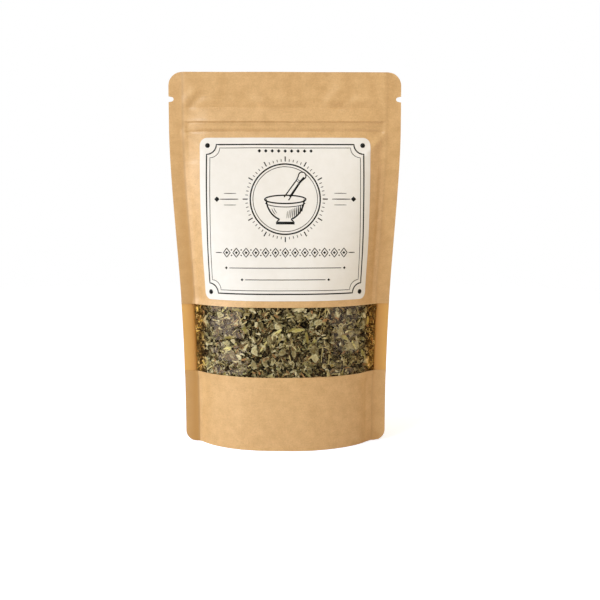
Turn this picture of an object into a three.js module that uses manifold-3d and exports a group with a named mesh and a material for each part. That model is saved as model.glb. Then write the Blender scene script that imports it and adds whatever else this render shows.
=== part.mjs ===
// A filled stand-up pouch: kraft panels with a clear window strip, a press zip, a paper label, a folded-in
// floor and a filling of cut dried leaf. Millimetres, +Z up, front towards -Y. The origin is the middle of
// the base, on the surface that the pouch stands on. The two panels are sealed together in the plane y = 0.
import * as THREE from 'three';
import { mergeVertices } from 'three/addons/utils/BufferGeometryUtils.js';
import Module from 'manifold-3d';

const wasm = await Module();
wasm.setup();

// ---- Driving dimensions -----------------------------------------------------------------------------------
const POUCH_WIDTH = 130; // laid flat, from one sealed edge to the other
const POUCH_HEIGHT = 210; // standing
const SIDE_SEAL = 8; // width of the heat seal down each side
const WALL = 0.8; // paper and film together; thicker than the real 0.15, so that it is a sound solid
const TOUCH_GAP = 0.3; // left between pieces that touch in the real pouch
const BASE_BULGE = 22.6; // how far each panel's inside stands out from the seal plane at the base
const BULGE_TOP = 180.5; // height where the bulge runs out
const BULGE_FALL = 2.6; // exponent of the bulge's fall with height
const BASE_FULLNESS = 2.6; // exponent of the plan section: 2 is a parabola, more is boxier
const TOP_FULLNESS = 5.5; // near the zip the face is flatter and turns down to the seals more sharply
const FULLNESS_START = 85; // height where the section starts to get boxier
const FULLNESS_END = 165;
const TOP_CORNER = 7.6; // radius
const FOOT_CORNER = 6.2; // radius
const WINDOW_BOTTOM = 41.4;
const WINDOW_TOP = 80.1;
const LABEL_WIDTH = 95.2; // measured along the curve of the paper
const LABEL_BOTTOM = 83.7;
const LABEL_TOP = 173.5;
const LABEL_CORNER = 4; // radius
const LABEL_THICKNESS = 0.5;
const ZIP_BOTTOM = 177; // lower edge of the zip's flange
const ZIP_TOP = 190; // upper edge of the zip's flange
const ZIP_CLOSURE = 182.2; // height of the ribs that press together
const ZIP_POCKET = 1.3; // how far the zip pushes each panel out
const ZIP_FLANGE = 0.5; // thickness of a track's flange
const ZIP_RIB_WIDTH = 0.8;
const NOTCH_HEIGHT = 195; // middle of the tear notches
const NOTCH_DEPTH = 2.8;
const NOTCH_MOUTH = 2.8; // height of a notch at the edge
const GUSSET_FOLD = 40; // height of the floor's fold at the side seals
const GUSSET_LIP = 5; // height where the floor leaves the panels at the middle of the front and back
const GUSSET_PAD_LENGTH = 0.55; // share of the half width over which the floor lies flat
const GUSSET_PAD_DEPTH = 0.6; // share of the half depth over which it lies flat
const GUSSET_END = 0.92; // share of the half width where the open floor ends
const FILL_TOP = 148; // height of the leaf
const FILL_GAP = 0.6; // between the leaf's body and the paper
const WINDOW_INSET = 2.1; // depth of the layer of loose flakes behind the film
const FLAKE_CLEARANCE = 0.4; // between the flakes and the film
const FLAKE_SPACING = 5.3;
const FLAKE_THICKNESS = 0.6;
const SEED = 20417;

const HALF_GAP = TOUCH_GAP / 2;
const HALF_BODY = POUCH_WIDTH / 2 - SIDE_SEAL; // from the middle to a side seal, along the paper

const clamp = THREE.MathUtils.clamp;
const smoothstep = THREE.MathUtils.smoothstep;

// ---- The pouch's form -------------------------------------------------------------------------------------
// The exponent of the plan section at a height.
function fullnessAt(z) {
  return BASE_FULLNESS + (TOP_FULLNESS - BASE_FULLNESS) * smoothstep(z, FULLNESS_START, FULLNESS_END);
}

// How far the panel's inside stands out at its middle, at a height. A boxier section of the same length of
// paper is a shallower one.
function bulgeAt(z) {
  const rise = clamp(z / BULGE_TOP, 0, 1);
  const extraLength = (fullness) => fullness ** 2 / (2 * fullness - 1);
  const shallower = Math.sqrt(extraLength(BASE_FULLNESS) / extraLength(fullnessAt(z)));
  return BASE_BULGE * (1 - rise ** BULGE_FALL) * shallower;
}

// The length along a bulged section, from its middle to the seal.
function sectionLength(chord, bulge, fullness) {
  const steps = 60;
  let length = 0;
  let last = bulge;
  for (let i = 1; i <= steps; i += 1) {
    const next = bulge * (1 - (i / steps) ** fullness);
    length += Math.hypot(chord / steps, next - last);
    last = next;
  }
  return length;
}

// Paper does not stretch, so a deeper bulge draws the side seals in. This finds the half chord at a height.
const chords = new Map();
function chordAt(z) {
  if (!chords.has(z)) {
    const bulge = bulgeAt(z) + WALL / 2;
    let low = HALF_BODY * 0.6;
    let high = HALF_BODY;
    for (let i = 0; i < 40; i += 1) {
      const middle = (low + high) / 2;
      if (sectionLength(middle, bulge, fullnessAt(z)) > HALF_BODY) high = middle;
      else low = middle;
    }
    chords.set(z, bulge > WALL / 2 ? (low + high) / 2 : HALF_BODY);
  }
  return chords.get(z);
}

// How far the panel's inside stands out at a place across the pouch and a height.
function insideAt(x, z) {
  const across = Math.abs(x) / chordAt(z);
  if (across >= 1) return 0;
  const body = bulgeAt(z) * (1 - across ** fullnessAt(z));
  const pocket = smoothstep(z, ZIP_BOTTOM - 3, ZIP_BOTTOM) * (1 - smoothstep(z, ZIP_TOP, ZIP_TOP + 2));
  const ends = clamp((1 - across) * 25, 0, 1);
  return Math.max(body, ZIP_POCKET * pocket * ends);
}

// What a thickness measured square to the paper becomes when it is measured along Y.
function slant(x, z) {
  const step = 0.4;
  const slope = (insideAt(x + step, z) - insideAt(x - step, z)) / (2 * step);
  return Math.hypot(1, slope);
}

// Y of a skin on the front panel: depth 0 is the panel's inside face, and WALL is its outside face.
function frontY(x, z, depth) {
  return -(HALF_GAP + insideAt(x, z) + depth * slant(x, z));
}

// The place across the pouch that is a given length of paper away from the middle.
function acrossAt(length, z) {
  const chord = chordAt(z);
  const bulge = bulgeAt(z);
  const fullness = fullnessAt(z);
  const steps = 80;
  let run = 0;
  for (let i = 1; i <= steps; i += 1) {
    const from = (i - 1) / steps;
    const to = i / steps;
    const fall = bulge * (to ** fullness - from ** fullness);
    const piece = Math.hypot(chord / steps, fall);
    if (run + piece >= Math.abs(length)) {
      const share = (Math.abs(length) - run) / piece;
      return Math.sign(length) * chord * (from + share / steps);
    }
    run += piece;
  }
  return Math.sign(length) * chord;
}

// What a rounded corner takes off a straight edge, at a distance from the corner's end.
function cornerCut(radius, distance) {
  if (distance >= radius) return 0;
  return radius - Math.sqrt(radius ** 2 - (radius - distance) ** 2);
}

// Distances from an edge that draw a rounded corner in a few even steps.
function cornerSteps(radius) {
  const steps = 4;
  return Array.from({ length: steps }, (_, i) => radius * (1 - Math.cos((i / steps) * Math.PI / 2)));
}

// ---- Solids -----------------------------------------------------------------------------------------------
// A closed sheet between two skins. Each skin is a function of (column, row) that gives a point; the first
// skin is the one that faces the viewer when columns run to the right and rows run up.
function sheet(columns, rows, faceSkin, hiddenSkin) {
  const points = [];
  for (const skin of [faceSkin, hiddenSkin]) {
    for (let row = 0; row < rows; row += 1) {
      for (let column = 0; column < columns; column += 1) points.push(...skin(column, row));
    }
  }
  const at = (side, column, row) => side * columns * rows + row * columns + column;
  const faces = [];
  const quad = (a, b, c, d) => faces.push(a, b, c, a, c, d);
  for (let row = 0; row < rows - 1; row += 1) {
    for (let column = 0; column < columns - 1; column += 1) {
      quad(at(0, column, row), at(0, column + 1, row), at(0, column + 1, row + 1), at(0, column, row + 1));
      quad(at(1, column, row), at(1, column, row + 1), at(1, column + 1, row + 1), at(1, column + 1, row));
    }
  }
  const right = columns - 1;
  const top = rows - 1;
  for (let column = 0; column < right; column += 1) {
    quad(at(0, column, 0), at(1, column, 0), at(1, column + 1, 0), at(0, column + 1, 0));
    quad(at(0, column, top), at(0, column + 1, top), at(1, column + 1, top), at(1, column, top));
  }
  for (let row = 0; row < top; row += 1) {
    quad(at(0, 0, row), at(0, 0, row + 1), at(1, 0, row + 1), at(1, 0, row));
    quad(at(0, right, row), at(1, right, row), at(1, right, row + 1), at(0, right, row + 1));
  }
  const geometry = new THREE.BufferGeometry();
  geometry.setAttribute('position', new THREE.Float32BufferAttribute(points, 3));
  geometry.setIndex(faces);
  return geometry;
}

// The same solid on the other side of the seal plane.
function mirrored(geometry) {
  const copy = geometry.clone();
  copy.scale(1, -1, 1);
  const index = copy.index;
  for (let i = 0; i < index.count; i += 3) {
    const second = index.getX(i + 1);
    index.setX(i + 1, index.getX(i + 2));
    index.setX(i + 2, second);
  }
  return copy;
}

function toManifold(geometry) {
  const bare = geometry.clone();
  bare.deleteAttribute('normal');
  bare.deleteAttribute('uv');
  const joined = mergeVertices(bare, 1e-5);
  const vertProperties = new Float32Array(joined.attributes.position.array);
  const triVerts = new Uint32Array(joined.index.array);
  return new wasm.Manifold(new wasm.Mesh({ numProp: 3, vertProperties, triVerts }));
}

function fromManifold(solid) {
  const mesh = solid.getMesh();
  const geometry = new THREE.BufferGeometry();
  geometry.setAttribute('position', new THREE.BufferAttribute(new Float32Array(mesh.vertProperties), 3));
  geometry.setIndex(new THREE.BufferAttribute(new Uint32Array(mesh.triVerts), 1));
  return geometry;
}

// ---- Panels and window ------------------------------------------------------------------------------------
// Places across a panel, as shares of the way from the middle to a side seal along the paper. The two outer
// columns are the edge of the seal.
const BODY_COLUMNS = [-1, -0.96, -0.88, -0.78, -0.65, -0.5, -0.34, -0.17, 0, 0.17, 0.34, 0.5, 0.65, 0.78, 0.88,
  0.96, 1];
const PANEL_COLUMNS = BODY_COLUMNS.length + 2;

// Half the panel's width at a height, with its rounded corners.
function edgeAt(z) {
  const corners = cornerCut(TOP_CORNER, POUCH_HEIGHT - z) + cornerCut(FOOT_CORNER, z);
  return chordAt(z) + SIDE_SEAL - corners;
}

function panelAcross(column, z) {
  if (column === 0) return -edgeAt(z);
  if (column === PANEL_COLUMNS - 1) return edgeAt(z);
  return acrossAt(BODY_COLUMNS[column - 1] * HALF_BODY, z);
}

// A piece of front panel that covers the given heights.
function panelPiece(heights) {
  const skin = (depth) => (column, row) => {
    const z = heights[row];
    const x = panelAcross(column, z);
    return [x, frontY(x, z, depth), z];
  };
  return sheet(PANEL_COLUMNS, heights.length, skin(WALL), skin(0));
}

// Heights from one level to another in even steps of about a given size.
function steps(from, to, size) {
  const count = Math.max(1, Math.round((to - from) / size));
  return Array.from({ length: count + 1 }, (_, i) => from + ((to - from) * i) / count);
}

const footHeights = cornerSteps(FOOT_CORNER);
const headHeights = cornerSteps(TOP_CORNER).map((distance) => POUCH_HEIGHT - distance).reverse();
const lowerHeights = [...footHeights, ...steps(FOOT_CORNER, WINDOW_BOTTOM, 9)];
const windowHeights = steps(WINDOW_BOTTOM + TOUCH_GAP, WINDOW_TOP - TOUCH_GAP, 8);
const zipHeights = [ZIP_BOTTOM - 3, ZIP_BOTTOM, ZIP_TOP, ZIP_TOP + 1, ZIP_TOP + 2];
const upperHeights = [
  ...steps(WINDOW_TOP, ZIP_BOTTOM - 3, 9).slice(0, -1),
  ...zipHeights,
  POUCH_HEIGHT - TOP_CORNER,
  ...headHeights,
];
const backHeights = [
  ...footHeights,
  ...steps(FOOT_CORNER, ZIP_BOTTOM - 3, 10).slice(0, -1),
  ...zipHeights,
  POUCH_HEIGHT - TOP_CORNER,
  ...headHeights,
];

// A U-shaped tool that cuts the tear notches through both side edges.
function notchTool() {
  const edge = POUCH_WIDTH / 2;
  const depth = edge - NOTCH_DEPTH;
  const half = NOTCH_MOUTH / 2;
  const shape = new THREE.Shape();
  shape.moveTo(edge + 2, half);
  shape.lineTo(edge, half);
  shape.quadraticCurveTo(depth, half, depth, 0);
  shape.quadraticCurveTo(depth, -half, edge, -half);
  shape.lineTo(edge + 2, -half);
  const blade = new THREE.ExtrudeGeometry(shape, { depth: 20, bevelEnabled: false, curveSegments: 4 });
  blade.rotateX(Math.PI / 2);
  blade.translate(0, 10, NOTCH_HEIGHT);
  const right = toManifold(blade);
  return right.add(right.mirror([1, 0, 0]));
}

function frontUpperPanel(notches) {
  return fromManifold(toManifold(panelPiece(upperHeights)).subtract(notches));
}

function frontLowerPanel() {
  return panelPiece(lowerHeights);
}

function windowFilm() {
  return panelPiece(windowHeights);
}

function backPanel(notches) {
  return fromManifold(toManifold(mirrored(panelPiece(backHeights))).subtract(notches));
}

// ---- Label ------------------------------------------------------------------------------------------------
// A thin sheet with rounded corners that follows the paper it is stuck to.
function label() {
  const corner = cornerSteps(LABEL_CORNER);
  const heights = [
    ...corner.map((distance) => LABEL_BOTTOM + distance),
    ...steps(LABEL_BOTTOM + LABEL_CORNER, LABEL_TOP - LABEL_CORNER, 11),
    ...corner.map((distance) => LABEL_TOP - distance).reverse(),
  ];
  const columns = 15;
  const skin = (depth) => (column, row) => {
    const z = heights[row];
    const end = Math.min(z - LABEL_BOTTOM, LABEL_TOP - z);
    const half = LABEL_WIDTH / 2 - cornerCut(LABEL_CORNER, end);
    const x = acrossAt(half * ((2 * column) / (columns - 1) - 1), z);
    return [x, frontY(x, z, depth), z];
  };
  const back = WALL + TOUCH_GAP;
  return sheet(columns, heights.length, skin(back + LABEL_THICKNESS), skin(back));
}

// ---- Zip --------------------------------------------------------------------------------------------------
// A track is a flange with ribs on it, given as [height, reach towards the other track]. The profile is drawn
// in (depth, height) with the flange's outer face at depth 0, and is drawn out along X.
const ZIP_HALF_LENGTH = HALF_BODY - 4;

function zipTrack(ribs) {
  const half = ZIP_RIB_WIDTH / 2;
  const shape = new THREE.Shape();
  shape.moveTo(0, ZIP_BOTTOM);
  shape.lineTo(ZIP_FLANGE, ZIP_BOTTOM);
  for (const [height, reach] of ribs) {
    shape.lineTo(ZIP_FLANGE, height - half);
    shape.lineTo(ZIP_FLANGE + reach - half, height - half);
    shape.absarc(ZIP_FLANGE + reach - half, height, half, -Math.PI / 2, Math.PI / 2, false);
    shape.lineTo(ZIP_FLANGE, height + half);
  }
  shape.lineTo(ZIP_FLANGE, ZIP_TOP);
  shape.lineTo(0, ZIP_TOP);
  const track = new THREE.ExtrudeGeometry(shape, {
    depth: 2 * ZIP_HALF_LENGTH,
    bevelEnabled: false,
    curveSegments: 4,
  });
  // profile (depth, height, run) becomes (run, depth, height)
  track.applyMatrix4(new THREE.Matrix4().set(0, 0, 1, -ZIP_HALF_LENGTH, 1, 0, 0, 0, 0, 1, 0, 0, 0, 0, 0, 1));
  track.translate(0, -(HALF_GAP + ZIP_POCKET - TOUCH_GAP), 0);
  return fromManifold(toManifold(track));
}

const ZIP_SPACING = ZIP_RIB_WIDTH + TOUCH_GAP + 0.05;

function zipTrackFront() {
  return zipTrack([[ZIP_CLOSURE, 0.95]]);
}

function zipTrackBack() {
  return mirrored(zipTrack([[ZIP_CLOSURE - ZIP_SPACING, 0.95], [ZIP_CLOSURE + ZIP_SPACING, 0.95]]));
}

// ---- Floor ------------------------------------------------------------------------------------------------
// Half the depth of the floor at a place across it: it ends just inside the panels.
function floorDepth(x) {
  const end = GUSSET_END * chordAt(0);
  const place = clamp(Math.abs(x), 0, end);
  const lip = floorLip(place / chordAt(0));
  return insideAt(place, lip + WALL) + HALF_GAP - (TOUCH_GAP + 0.1) * slant(place, lip);
}

// Height where the floor leaves the panels, for a share of the way out to the side seal.
function floorLip(share) {
  return GUSSET_LIP + (GUSSET_FOLD - GUSSET_LIP) * Math.min(share, 1) ** 3;
}

// Height of the floor's underside. It sags flat onto the surface in the middle and rises to the fold at the
// side seals.
function floorHeight(share, depthShare) {
  const out = clamp((share - GUSSET_PAD_LENGTH) / (1 - GUSSET_PAD_LENGTH), 0, 1.1);
  const middle = GUSSET_FOLD * out ** 1.7;
  const up = Math.max(0, (depthShare - GUSSET_PAD_DEPTH) / (1 - GUSSET_PAD_DEPTH));
  return middle + Math.max(0, floorLip(share) - middle) * up ** 2;
}

const FLOOR_ACROSS = [0, 0.28, GUSSET_PAD_LENGTH, 0.64, 0.72, 0.79, 0.86, GUSSET_END];
const FLOOR_DEEP = [0, 0.3, GUSSET_PAD_DEPTH, 0.7, 0.8, 0.9, 1];

function bothWays(values) {
  return [...values.slice(1).reverse().map((value) => -value), ...values];
}

// The floor as a sheet, from its underside to a thickness above it, or from a depth below to a clearance above.
function floorSheet(across, deep, top, bottom) {
  const chord = chordAt(0);
  const skin = (height) => (column, row) => {
    const share = across[column];
    const x = share * chord;
    return [x, deep[row] * floorDepth(x), height(Math.abs(share), Math.abs(deep[row]))];
  };
  return sheet(across.length, deep.length, skin(top), skin(bottom));
}

function bottomGusset() {
  const top = (share, deep) => floorHeight(share, deep) + WALL * (1 + 0.4 * smoothstep(deep, 0.6, 1));
  return floorSheet(bothWays(FLOOR_ACROSS), bothWays(FLOOR_DEEP), top, floorHeight);
}

// Everything under the leaf: the floor, the space below it and the gap above it.
function underLeaf() {
  const across = bothWays([...FLOOR_ACROSS, 1, 1.06]);
  const deep = bothWays([...FLOOR_DEEP, 1.3]);
  const top = (share, depth) => floorHeight(share, depth) + 1.4 * WALL + TOUCH_GAP + 0.15;
  const bottom = () => -5;
  return floorSheet(across, deep, top, bottom);
}

// ---- Leaf filling -----------------------------------------------------------------------------------------
// How deep the layer of loose flakes is at a height: it is there behind the window only.
function windowLayer(z) {
  const lower = smoothstep(z, WINDOW_BOTTOM - 5, WINDOW_BOTTOM - 2);
  return lower * (1 - smoothstep(z, WINDOW_TOP + 2, WINDOW_TOP + 5));
}

// A closed body inside the pouch, kept in from the front and the back by distances that depend on height.
function fillBody(heights, frontInset, backInset) {
  const half = 8;
  const ring = 4 * half;
  const points = [];
  for (const z of heights) {
    const bulge = bulgeAt(z);
    const inset = Math.max(frontInset(z), backInset(z));
    const reach = (1 - Math.min(0.9, (1.5 * inset + 0.5) / bulge)) ** (1 / fullnessAt(z));
    for (let i = 0; i < ring; i += 1) {
      const front = i <= 2 * half;
      const turn = front ? (i - half) / half : (3 * half - i) / half;
      const x = chordAt(z) * reach * Math.sin((turn * Math.PI) / 2);
      const depth = insideAt(x, z) - (front ? frontInset(z) : backInset(z)) * slant(x, z);
      const y = i % (2 * half) === 0 ? 0 : Math.max(depth, 0.05);
      points.push(x, front ? -y : y, z);
    }
  }
  const top = heights.length - 1;
  points.push(0, 0, heights[0], 0, 0, heights[top]);
  const faces = [];
  for (let row = 0; row < top; row += 1) {
    for (let i = 0; i < ring; i += 1) {
      const a = row * ring + i;
      const b = row * ring + ((i + 1) % ring);
      faces.push(a, b, b + ring, a, b + ring, a + ring);
    }
  }
  const lowHub = heights.length * ring;
  for (let i = 0; i < ring; i += 1) {
    const next = (i + 1) % ring;
    faces.push(lowHub, next, i);
    faces.push(lowHub + 1, top * ring + i, top * ring + next);
  }
  const geometry = new THREE.BufferGeometry();
  geometry.setAttribute('position', new THREE.Float32BufferAttribute(points, 3));
  geometry.setIndex(faces);
  return geometry;
}

// A repeatable stream of numbers between 0 and 1.
function seededDraw(seed) {
  let state = seed;
  return () => {
    state = (state * 1664525 + 1013904223) % 4294967296;
    return state / 4294967296;
  };
}

// One flake of cut leaf: a thin, pointed, uneven plate, with its faces up and down its own Z.
function flake(draw) {
  const long = 3.1 + 1.3 * draw();
  const wide = 2.0 + 0.9 * draw();
  const sides = 4;
  const points = [];
  for (const z of [FLAKE_THICKNESS / 2, -FLAKE_THICKNESS / 2]) {
    for (let i = 0; i < sides; i += 1) {
      const angle = ((i + 0.35 * Math.sin(7 * i)) / sides) * 2 * Math.PI;
      points.push(long * Math.cos(angle), wide * Math.sin(angle), z + 0.25 * Math.cos(angle) ** 2);
    }
  }
  const faces = [];
  for (let i = 1; i < sides - 1; i += 1) {
    faces.push(0, i, i + 1);
    faces.push(sides, sides + i + 1, sides + i);
  }
  for (let i = 0; i < sides; i += 1) {
    const next = (i + 1) % sides;
    faces.push(i, sides + i, sides + next, i, sides + next, next);
  }
  const geometry = new THREE.BufferGeometry();
  geometry.setAttribute('position', new THREE.Float32BufferAttribute(points, 3));
  geometry.setIndex(faces);
  return geometry;
}

// The flakes that show behind the window, in staggered rows, each sunk in the body and tilted a little.
function windowFlakes() {
  const draw = seededDraw(SEED);
  const flakes = [];
  const up = new THREE.Vector3(0, 0, 1);
  let odd = false;
  for (let z = WINDOW_BOTTOM - 1; z <= WINDOW_TOP + 1; z += FLAKE_SPACING) {
    for (let run = -HALF_BODY + 4; run <= HALF_BODY - 4; run += FLAKE_SPACING) {
      const length = run + (odd ? FLAKE_SPACING / 2 : 0) + (draw() - 0.5) * 1.2;
      const height = z + (draw() - 0.5) * 1.2;
      const x = acrossAt(length, height);
      const slope = insideAt(x + 0.5, height) - insideAt(x - 0.5, height);
      const outward = new THREE.Vector3(-slope, -1, 0).normalize();
      const y = -(HALF_GAP + insideAt(x, height)) - outward.y * (WINDOW_INSET + 0.55 - 0.6 * draw());
      const shape = flake(draw);
      shape.rotateZ(draw() * 2 * Math.PI);
      shape.rotateX((draw() - 0.5) * 0.8);
      shape.rotateY((draw() - 0.5) * 0.8);
      shape.applyQuaternion(new THREE.Quaternion().setFromUnitVectors(up, outward));
      shape.translate(x, y, height);
      flakes.push(toManifold(shape));
    }
    odd = !odd;
  }
  return wasm.Manifold.union(flakes);
}

// The largest solid of those in a result.
function largest(solid) {
  const parts = solid.decompose();
  return parts.reduce((best, part) => (part.volume() > best.volume() ? part : best));
}

function leafFill() {
  const near = steps(WINDOW_BOTTOM - 5, WINDOW_BOTTOM - 2, 1.5);
  const far = steps(WINDOW_TOP + 2, WINDOW_TOP + 5, 1.5);
  const heights = [1, 10, 22, ...near, ...steps(50, 72, 11), ...far, 96, 108, 120, 132, 141, FILL_TOP];
  const frontInset = (z) => FILL_GAP + (WINDOW_INSET - FILL_GAP) * windowLayer(z);
  const core = toManifold(fillBody(heights, frontInset, () => FILL_GAP));
  const envelope = toManifold(fillBody(heights, () => FLAKE_CLEARANCE, () => FLAKE_CLEARANCE));
  const leaf = core.add(windowFlakes()).intersect(envelope).subtract(toManifold(underLeaf()));
  return fromManifold(largest(leaf));
}

// ---- Assembly ---------------------------------------------------------------------------------------------
const kraft = { color: 0xcfa673, roughness: 0.8, metalness: 0 };
const film = { color: 0xdfe3e0, roughness: 0.12, metalness: 0 };
const paper = { color: 0xf2eee4, roughness: 0.6, metalness: 0 };
const zipPlastic = { color: 0xe6e4de, roughness: 0.4, metalness: 0 };
const leaf = { color: 0x6d6a3c, roughness: 0.85, metalness: 0 };

const pouch = new THREE.Group();

function place(name, geometry, finish) {
  geometry.computeVertexNormals();
  const mesh = new THREE.Mesh(geometry, new THREE.MeshStandardMaterial(finish));
  mesh.name = name;
  pouch.add(mesh);
}

const notches = notchTool();
place('front_upper_panel', frontUpperPanel(notches), kraft);
place('front_lower_panel', frontLowerPanel(), kraft);
place('window_film', windowFilm(), film);
place('back_panel', backPanel(notches), kraft);
place('bottom_gusset', bottomGusset(), kraft);
place('zip_track_front', zipTrackFront(), zipPlastic);
place('zip_track_back', zipTrackBack(), zipPlastic);
place('label', label(), paper);
place('leaf_fill', leafFill(), leaf);

export default pouch;
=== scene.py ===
# %% [markdown]
# # A stand-up pouch of dried lemon balm leaf
#
# The pouch is two kraft-paper panels sealed together at the sides, with a strip of clear film across the
# front, a press zip near the top, a paper label, and a floor that folds in so that it stands by itself.
# Cut dried leaf fills it and shows through the film.
#
# The lesson starts from the solid model, which holds the sizes and the places of every piece. Each cell
# then dresses one piece. The paper comes first, because everything else lies on it or behind it.

# %% Load the solid model
import math

import bpy
import numpy as np
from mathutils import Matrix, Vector


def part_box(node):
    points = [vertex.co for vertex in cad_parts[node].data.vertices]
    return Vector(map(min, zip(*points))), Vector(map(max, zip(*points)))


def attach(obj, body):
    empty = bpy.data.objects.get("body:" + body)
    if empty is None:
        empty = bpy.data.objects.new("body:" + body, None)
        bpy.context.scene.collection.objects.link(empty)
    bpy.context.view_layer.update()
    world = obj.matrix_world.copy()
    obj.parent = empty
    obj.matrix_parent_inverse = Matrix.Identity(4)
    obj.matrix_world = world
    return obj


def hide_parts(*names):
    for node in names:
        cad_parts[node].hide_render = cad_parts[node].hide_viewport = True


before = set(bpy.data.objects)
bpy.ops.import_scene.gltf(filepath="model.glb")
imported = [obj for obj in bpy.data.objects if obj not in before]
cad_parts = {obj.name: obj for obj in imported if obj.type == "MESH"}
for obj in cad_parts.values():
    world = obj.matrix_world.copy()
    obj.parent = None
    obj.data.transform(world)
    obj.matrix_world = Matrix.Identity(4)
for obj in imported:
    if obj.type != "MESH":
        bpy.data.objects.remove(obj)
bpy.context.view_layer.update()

# %% [markdown]
# ## Sizes
#
# Packaging is drawn in millimetres, so this script thinks in millimetres and changes to metres only when a
# mesh is made. The heights and widths are read from the solid model, so the dressed pouch can't drift away
# from it. Only what the solid can't say, such as the real thickness of the paper, is written here.

# %% Sizes from the solid model
MM = 0.001


def low_mm(node):
    return np.array(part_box(node)[0]) / MM


def high_mm(node):
    return np.array(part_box(node)[1]) / MM


HEIGHT = high_mm("front_upper_panel")[2]
HALF_WIDTH = high_mm("front_upper_panel")[0]
BASE_DEPTH = -low_mm("front_lower_panel")[1]
WINDOW_LOW = high_mm("front_lower_panel")[2]
WINDOW_HIGH = low_mm("front_upper_panel")[2]
LABEL_LOW = low_mm("label")[2]
LABEL_HIGH = high_mm("label")[2]
ZIP_LOW = low_mm("zip_track_front")[2]
ZIP_HIGH = high_mm("zip_track_front")[2]
FILL_HIGH = high_mm("leaf_fill")[2]

SIDE_SEAL = 8.0  # width of the heat seal down each side
HALF_BODY = HALF_WIDTH - SIDE_SEAL  # from the middle to a seal, along the paper
SEAL_HALF = 0.35  # half the thickness of the sealed edge
PAPER = 0.3  # thickness of a panel
print(f"pouch {2 * HALF_WIDTH:.0f} x {HEIGHT:.0f} mm, {2 * BASE_DEPTH:.1f} mm deep at the base")

# %% [markdown]
# ## The form of a filled pouch
#
# Paper bends but doesn't stretch. Where the filling pushes the panels apart, the same 114 mm of paper has to
# go round a curve, so the side seals are drawn in: that is why a full pouch is narrower at the base than at
# the zip. Modelling it with a cloth simulation would work, but the form is simple enough to state. At each
# height the plan section is a curve of a known depth, and the distance between the seals is whatever makes
# the curve as long as the paper. Every place on a panel then has paper coordinates: `along`, millimetres
# from the middle line, and `up`, the height.


# %% Section of the pouch at a height
def smooth(value, start, end):
    """0 before start, 1 after end, and an even S between them."""
    share = np.clip((value - start) / (end - start), 0.0, 1.0)
    return share * share * (3 - 2 * share)


BASE_FULLNESS, TOP_FULLNESS = 2.6, 5.5
BULGE_TOP = 180.5  # height where the bulge runs out, just under the zip's ribs
BULGE_FALL = 2.6


def fullness(up):
    """How boxy the section is: 2 would be a parabola."""
    return BASE_FULLNESS + (TOP_FULLNESS - BASE_FULLNESS) * smooth(up, 85.0, 165.0)


def bulge(up):
    """How far the paper stands out from the seals at the middle of the pouch."""
    extra = fullness(up) ** 2 / (2 * fullness(up) - 1)
    extra_at_base = BASE_FULLNESS**2 / (2 * BASE_FULLNESS - 1)
    rise = np.clip(up / BULGE_TOP, 0.0, 1.0)
    return (BASE_DEPTH - SEAL_HALF) * (1 - rise**BULGE_FALL) * np.sqrt(extra_at_base / extra)


print("bulge at the base, the window and the zip:", [round(float(bulge(v)), 1) for v in (0, 60, 177)])

# %% Width of the pouch at a height
SHARES = np.linspace(0.0, 1.0, 241)
WINDOW_GIVE = 1.3  # the film is welded on a narrower line than the paper, so the window opens wider


def run_of_paper(chord, depth, power):
    """Length of paper from the middle out to each share of the way to the seal."""
    across, out = chord * SHARES, depth * (1 - SHARES**power)
    steps = np.hypot(np.diff(across), np.diff(out))
    return np.concatenate([[0.0], np.cumsum(steps)])


def body_half(up):
    """From the middle to a seal, along the paper, at a height."""
    low_end = smooth(up, WINDOW_LOW - 4.5, WINDOW_LOW + 1.0)
    return HALF_BODY + WINDOW_GIVE * low_end * (1 - smooth(up, WINDOW_HIGH - 1.0, WINDOW_HIGH + 4.5))


def half_chord(up):
    """Distance from the middle line to the seal, found by halving until the paper's length fits."""
    low, high = 0.6 * HALF_BODY, HALF_BODY + WINDOW_GIVE
    for _ in range(30):
        middle = (low + high) / 2
        if run_of_paper(middle, bulge(up) - 0.2, fullness(up))[-1] > body_half(up):
            high = middle
        else:
            low = middle
    return (low + high) / 2


print("half chord at the base, the window and the zip:", [round(half_chord(v), 1) for v in (0, 60, 177)])

# %% [markdown]
# Meshes below ask for many thousands of places, so the form is worked out once on a fine net of paper
# coordinates, and read from it by straight interpolation. The crease beside the seal is rounded a little,
# because paper can't fold to a knife edge over a filling.

# %% A net of places
NET_STEP = 0.25  # millimetres along the paper
NET_SPARE = 4.25  # past the cut edge, so that places just outside it can be read too
NET_ALONG = np.arange(0.0, HALF_WIDTH + NET_SPARE, NET_STEP)
NET_UP = np.linspace(0.0, HEIGHT, int(HEIGHT) + 1)
CREASE_ROUND = 0.36


def net_row(up):
    """X and outward reach of the paper at one height, for each step along it."""
    chord = half_chord(up)
    run = run_of_paper(chord, bulge(up), fullness(up))
    body = body_half(up)
    run *= body / run[-1]
    inside = np.interp(NET_ALONG, run, chord * SHARES)
    x = np.where(NET_ALONG < body, inside, chord + NET_ALONG - body)
    share = x / chord
    out = bulge(up) * (1 - share ** fullness(up))
    soft = CREASE_ROUND * smooth(bulge(up), 0.0, 3.0)
    return x, (out + np.sqrt(out**2 + soft**2)) / 2


NET_X, NET_OUT = (np.array(part) for part in zip(*(net_row(up) for up in NET_UP)))
SLOPE_ALONG = np.gradient(NET_OUT, axis=1) / np.gradient(NET_X, axis=1)
SLOPE_UP = np.gradient(NET_OUT, axis=0) / np.gradient(NET_UP)[:, None]
print("net:", NET_OUT.shape[0], "heights by", NET_OUT.shape[1], "steps")


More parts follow.
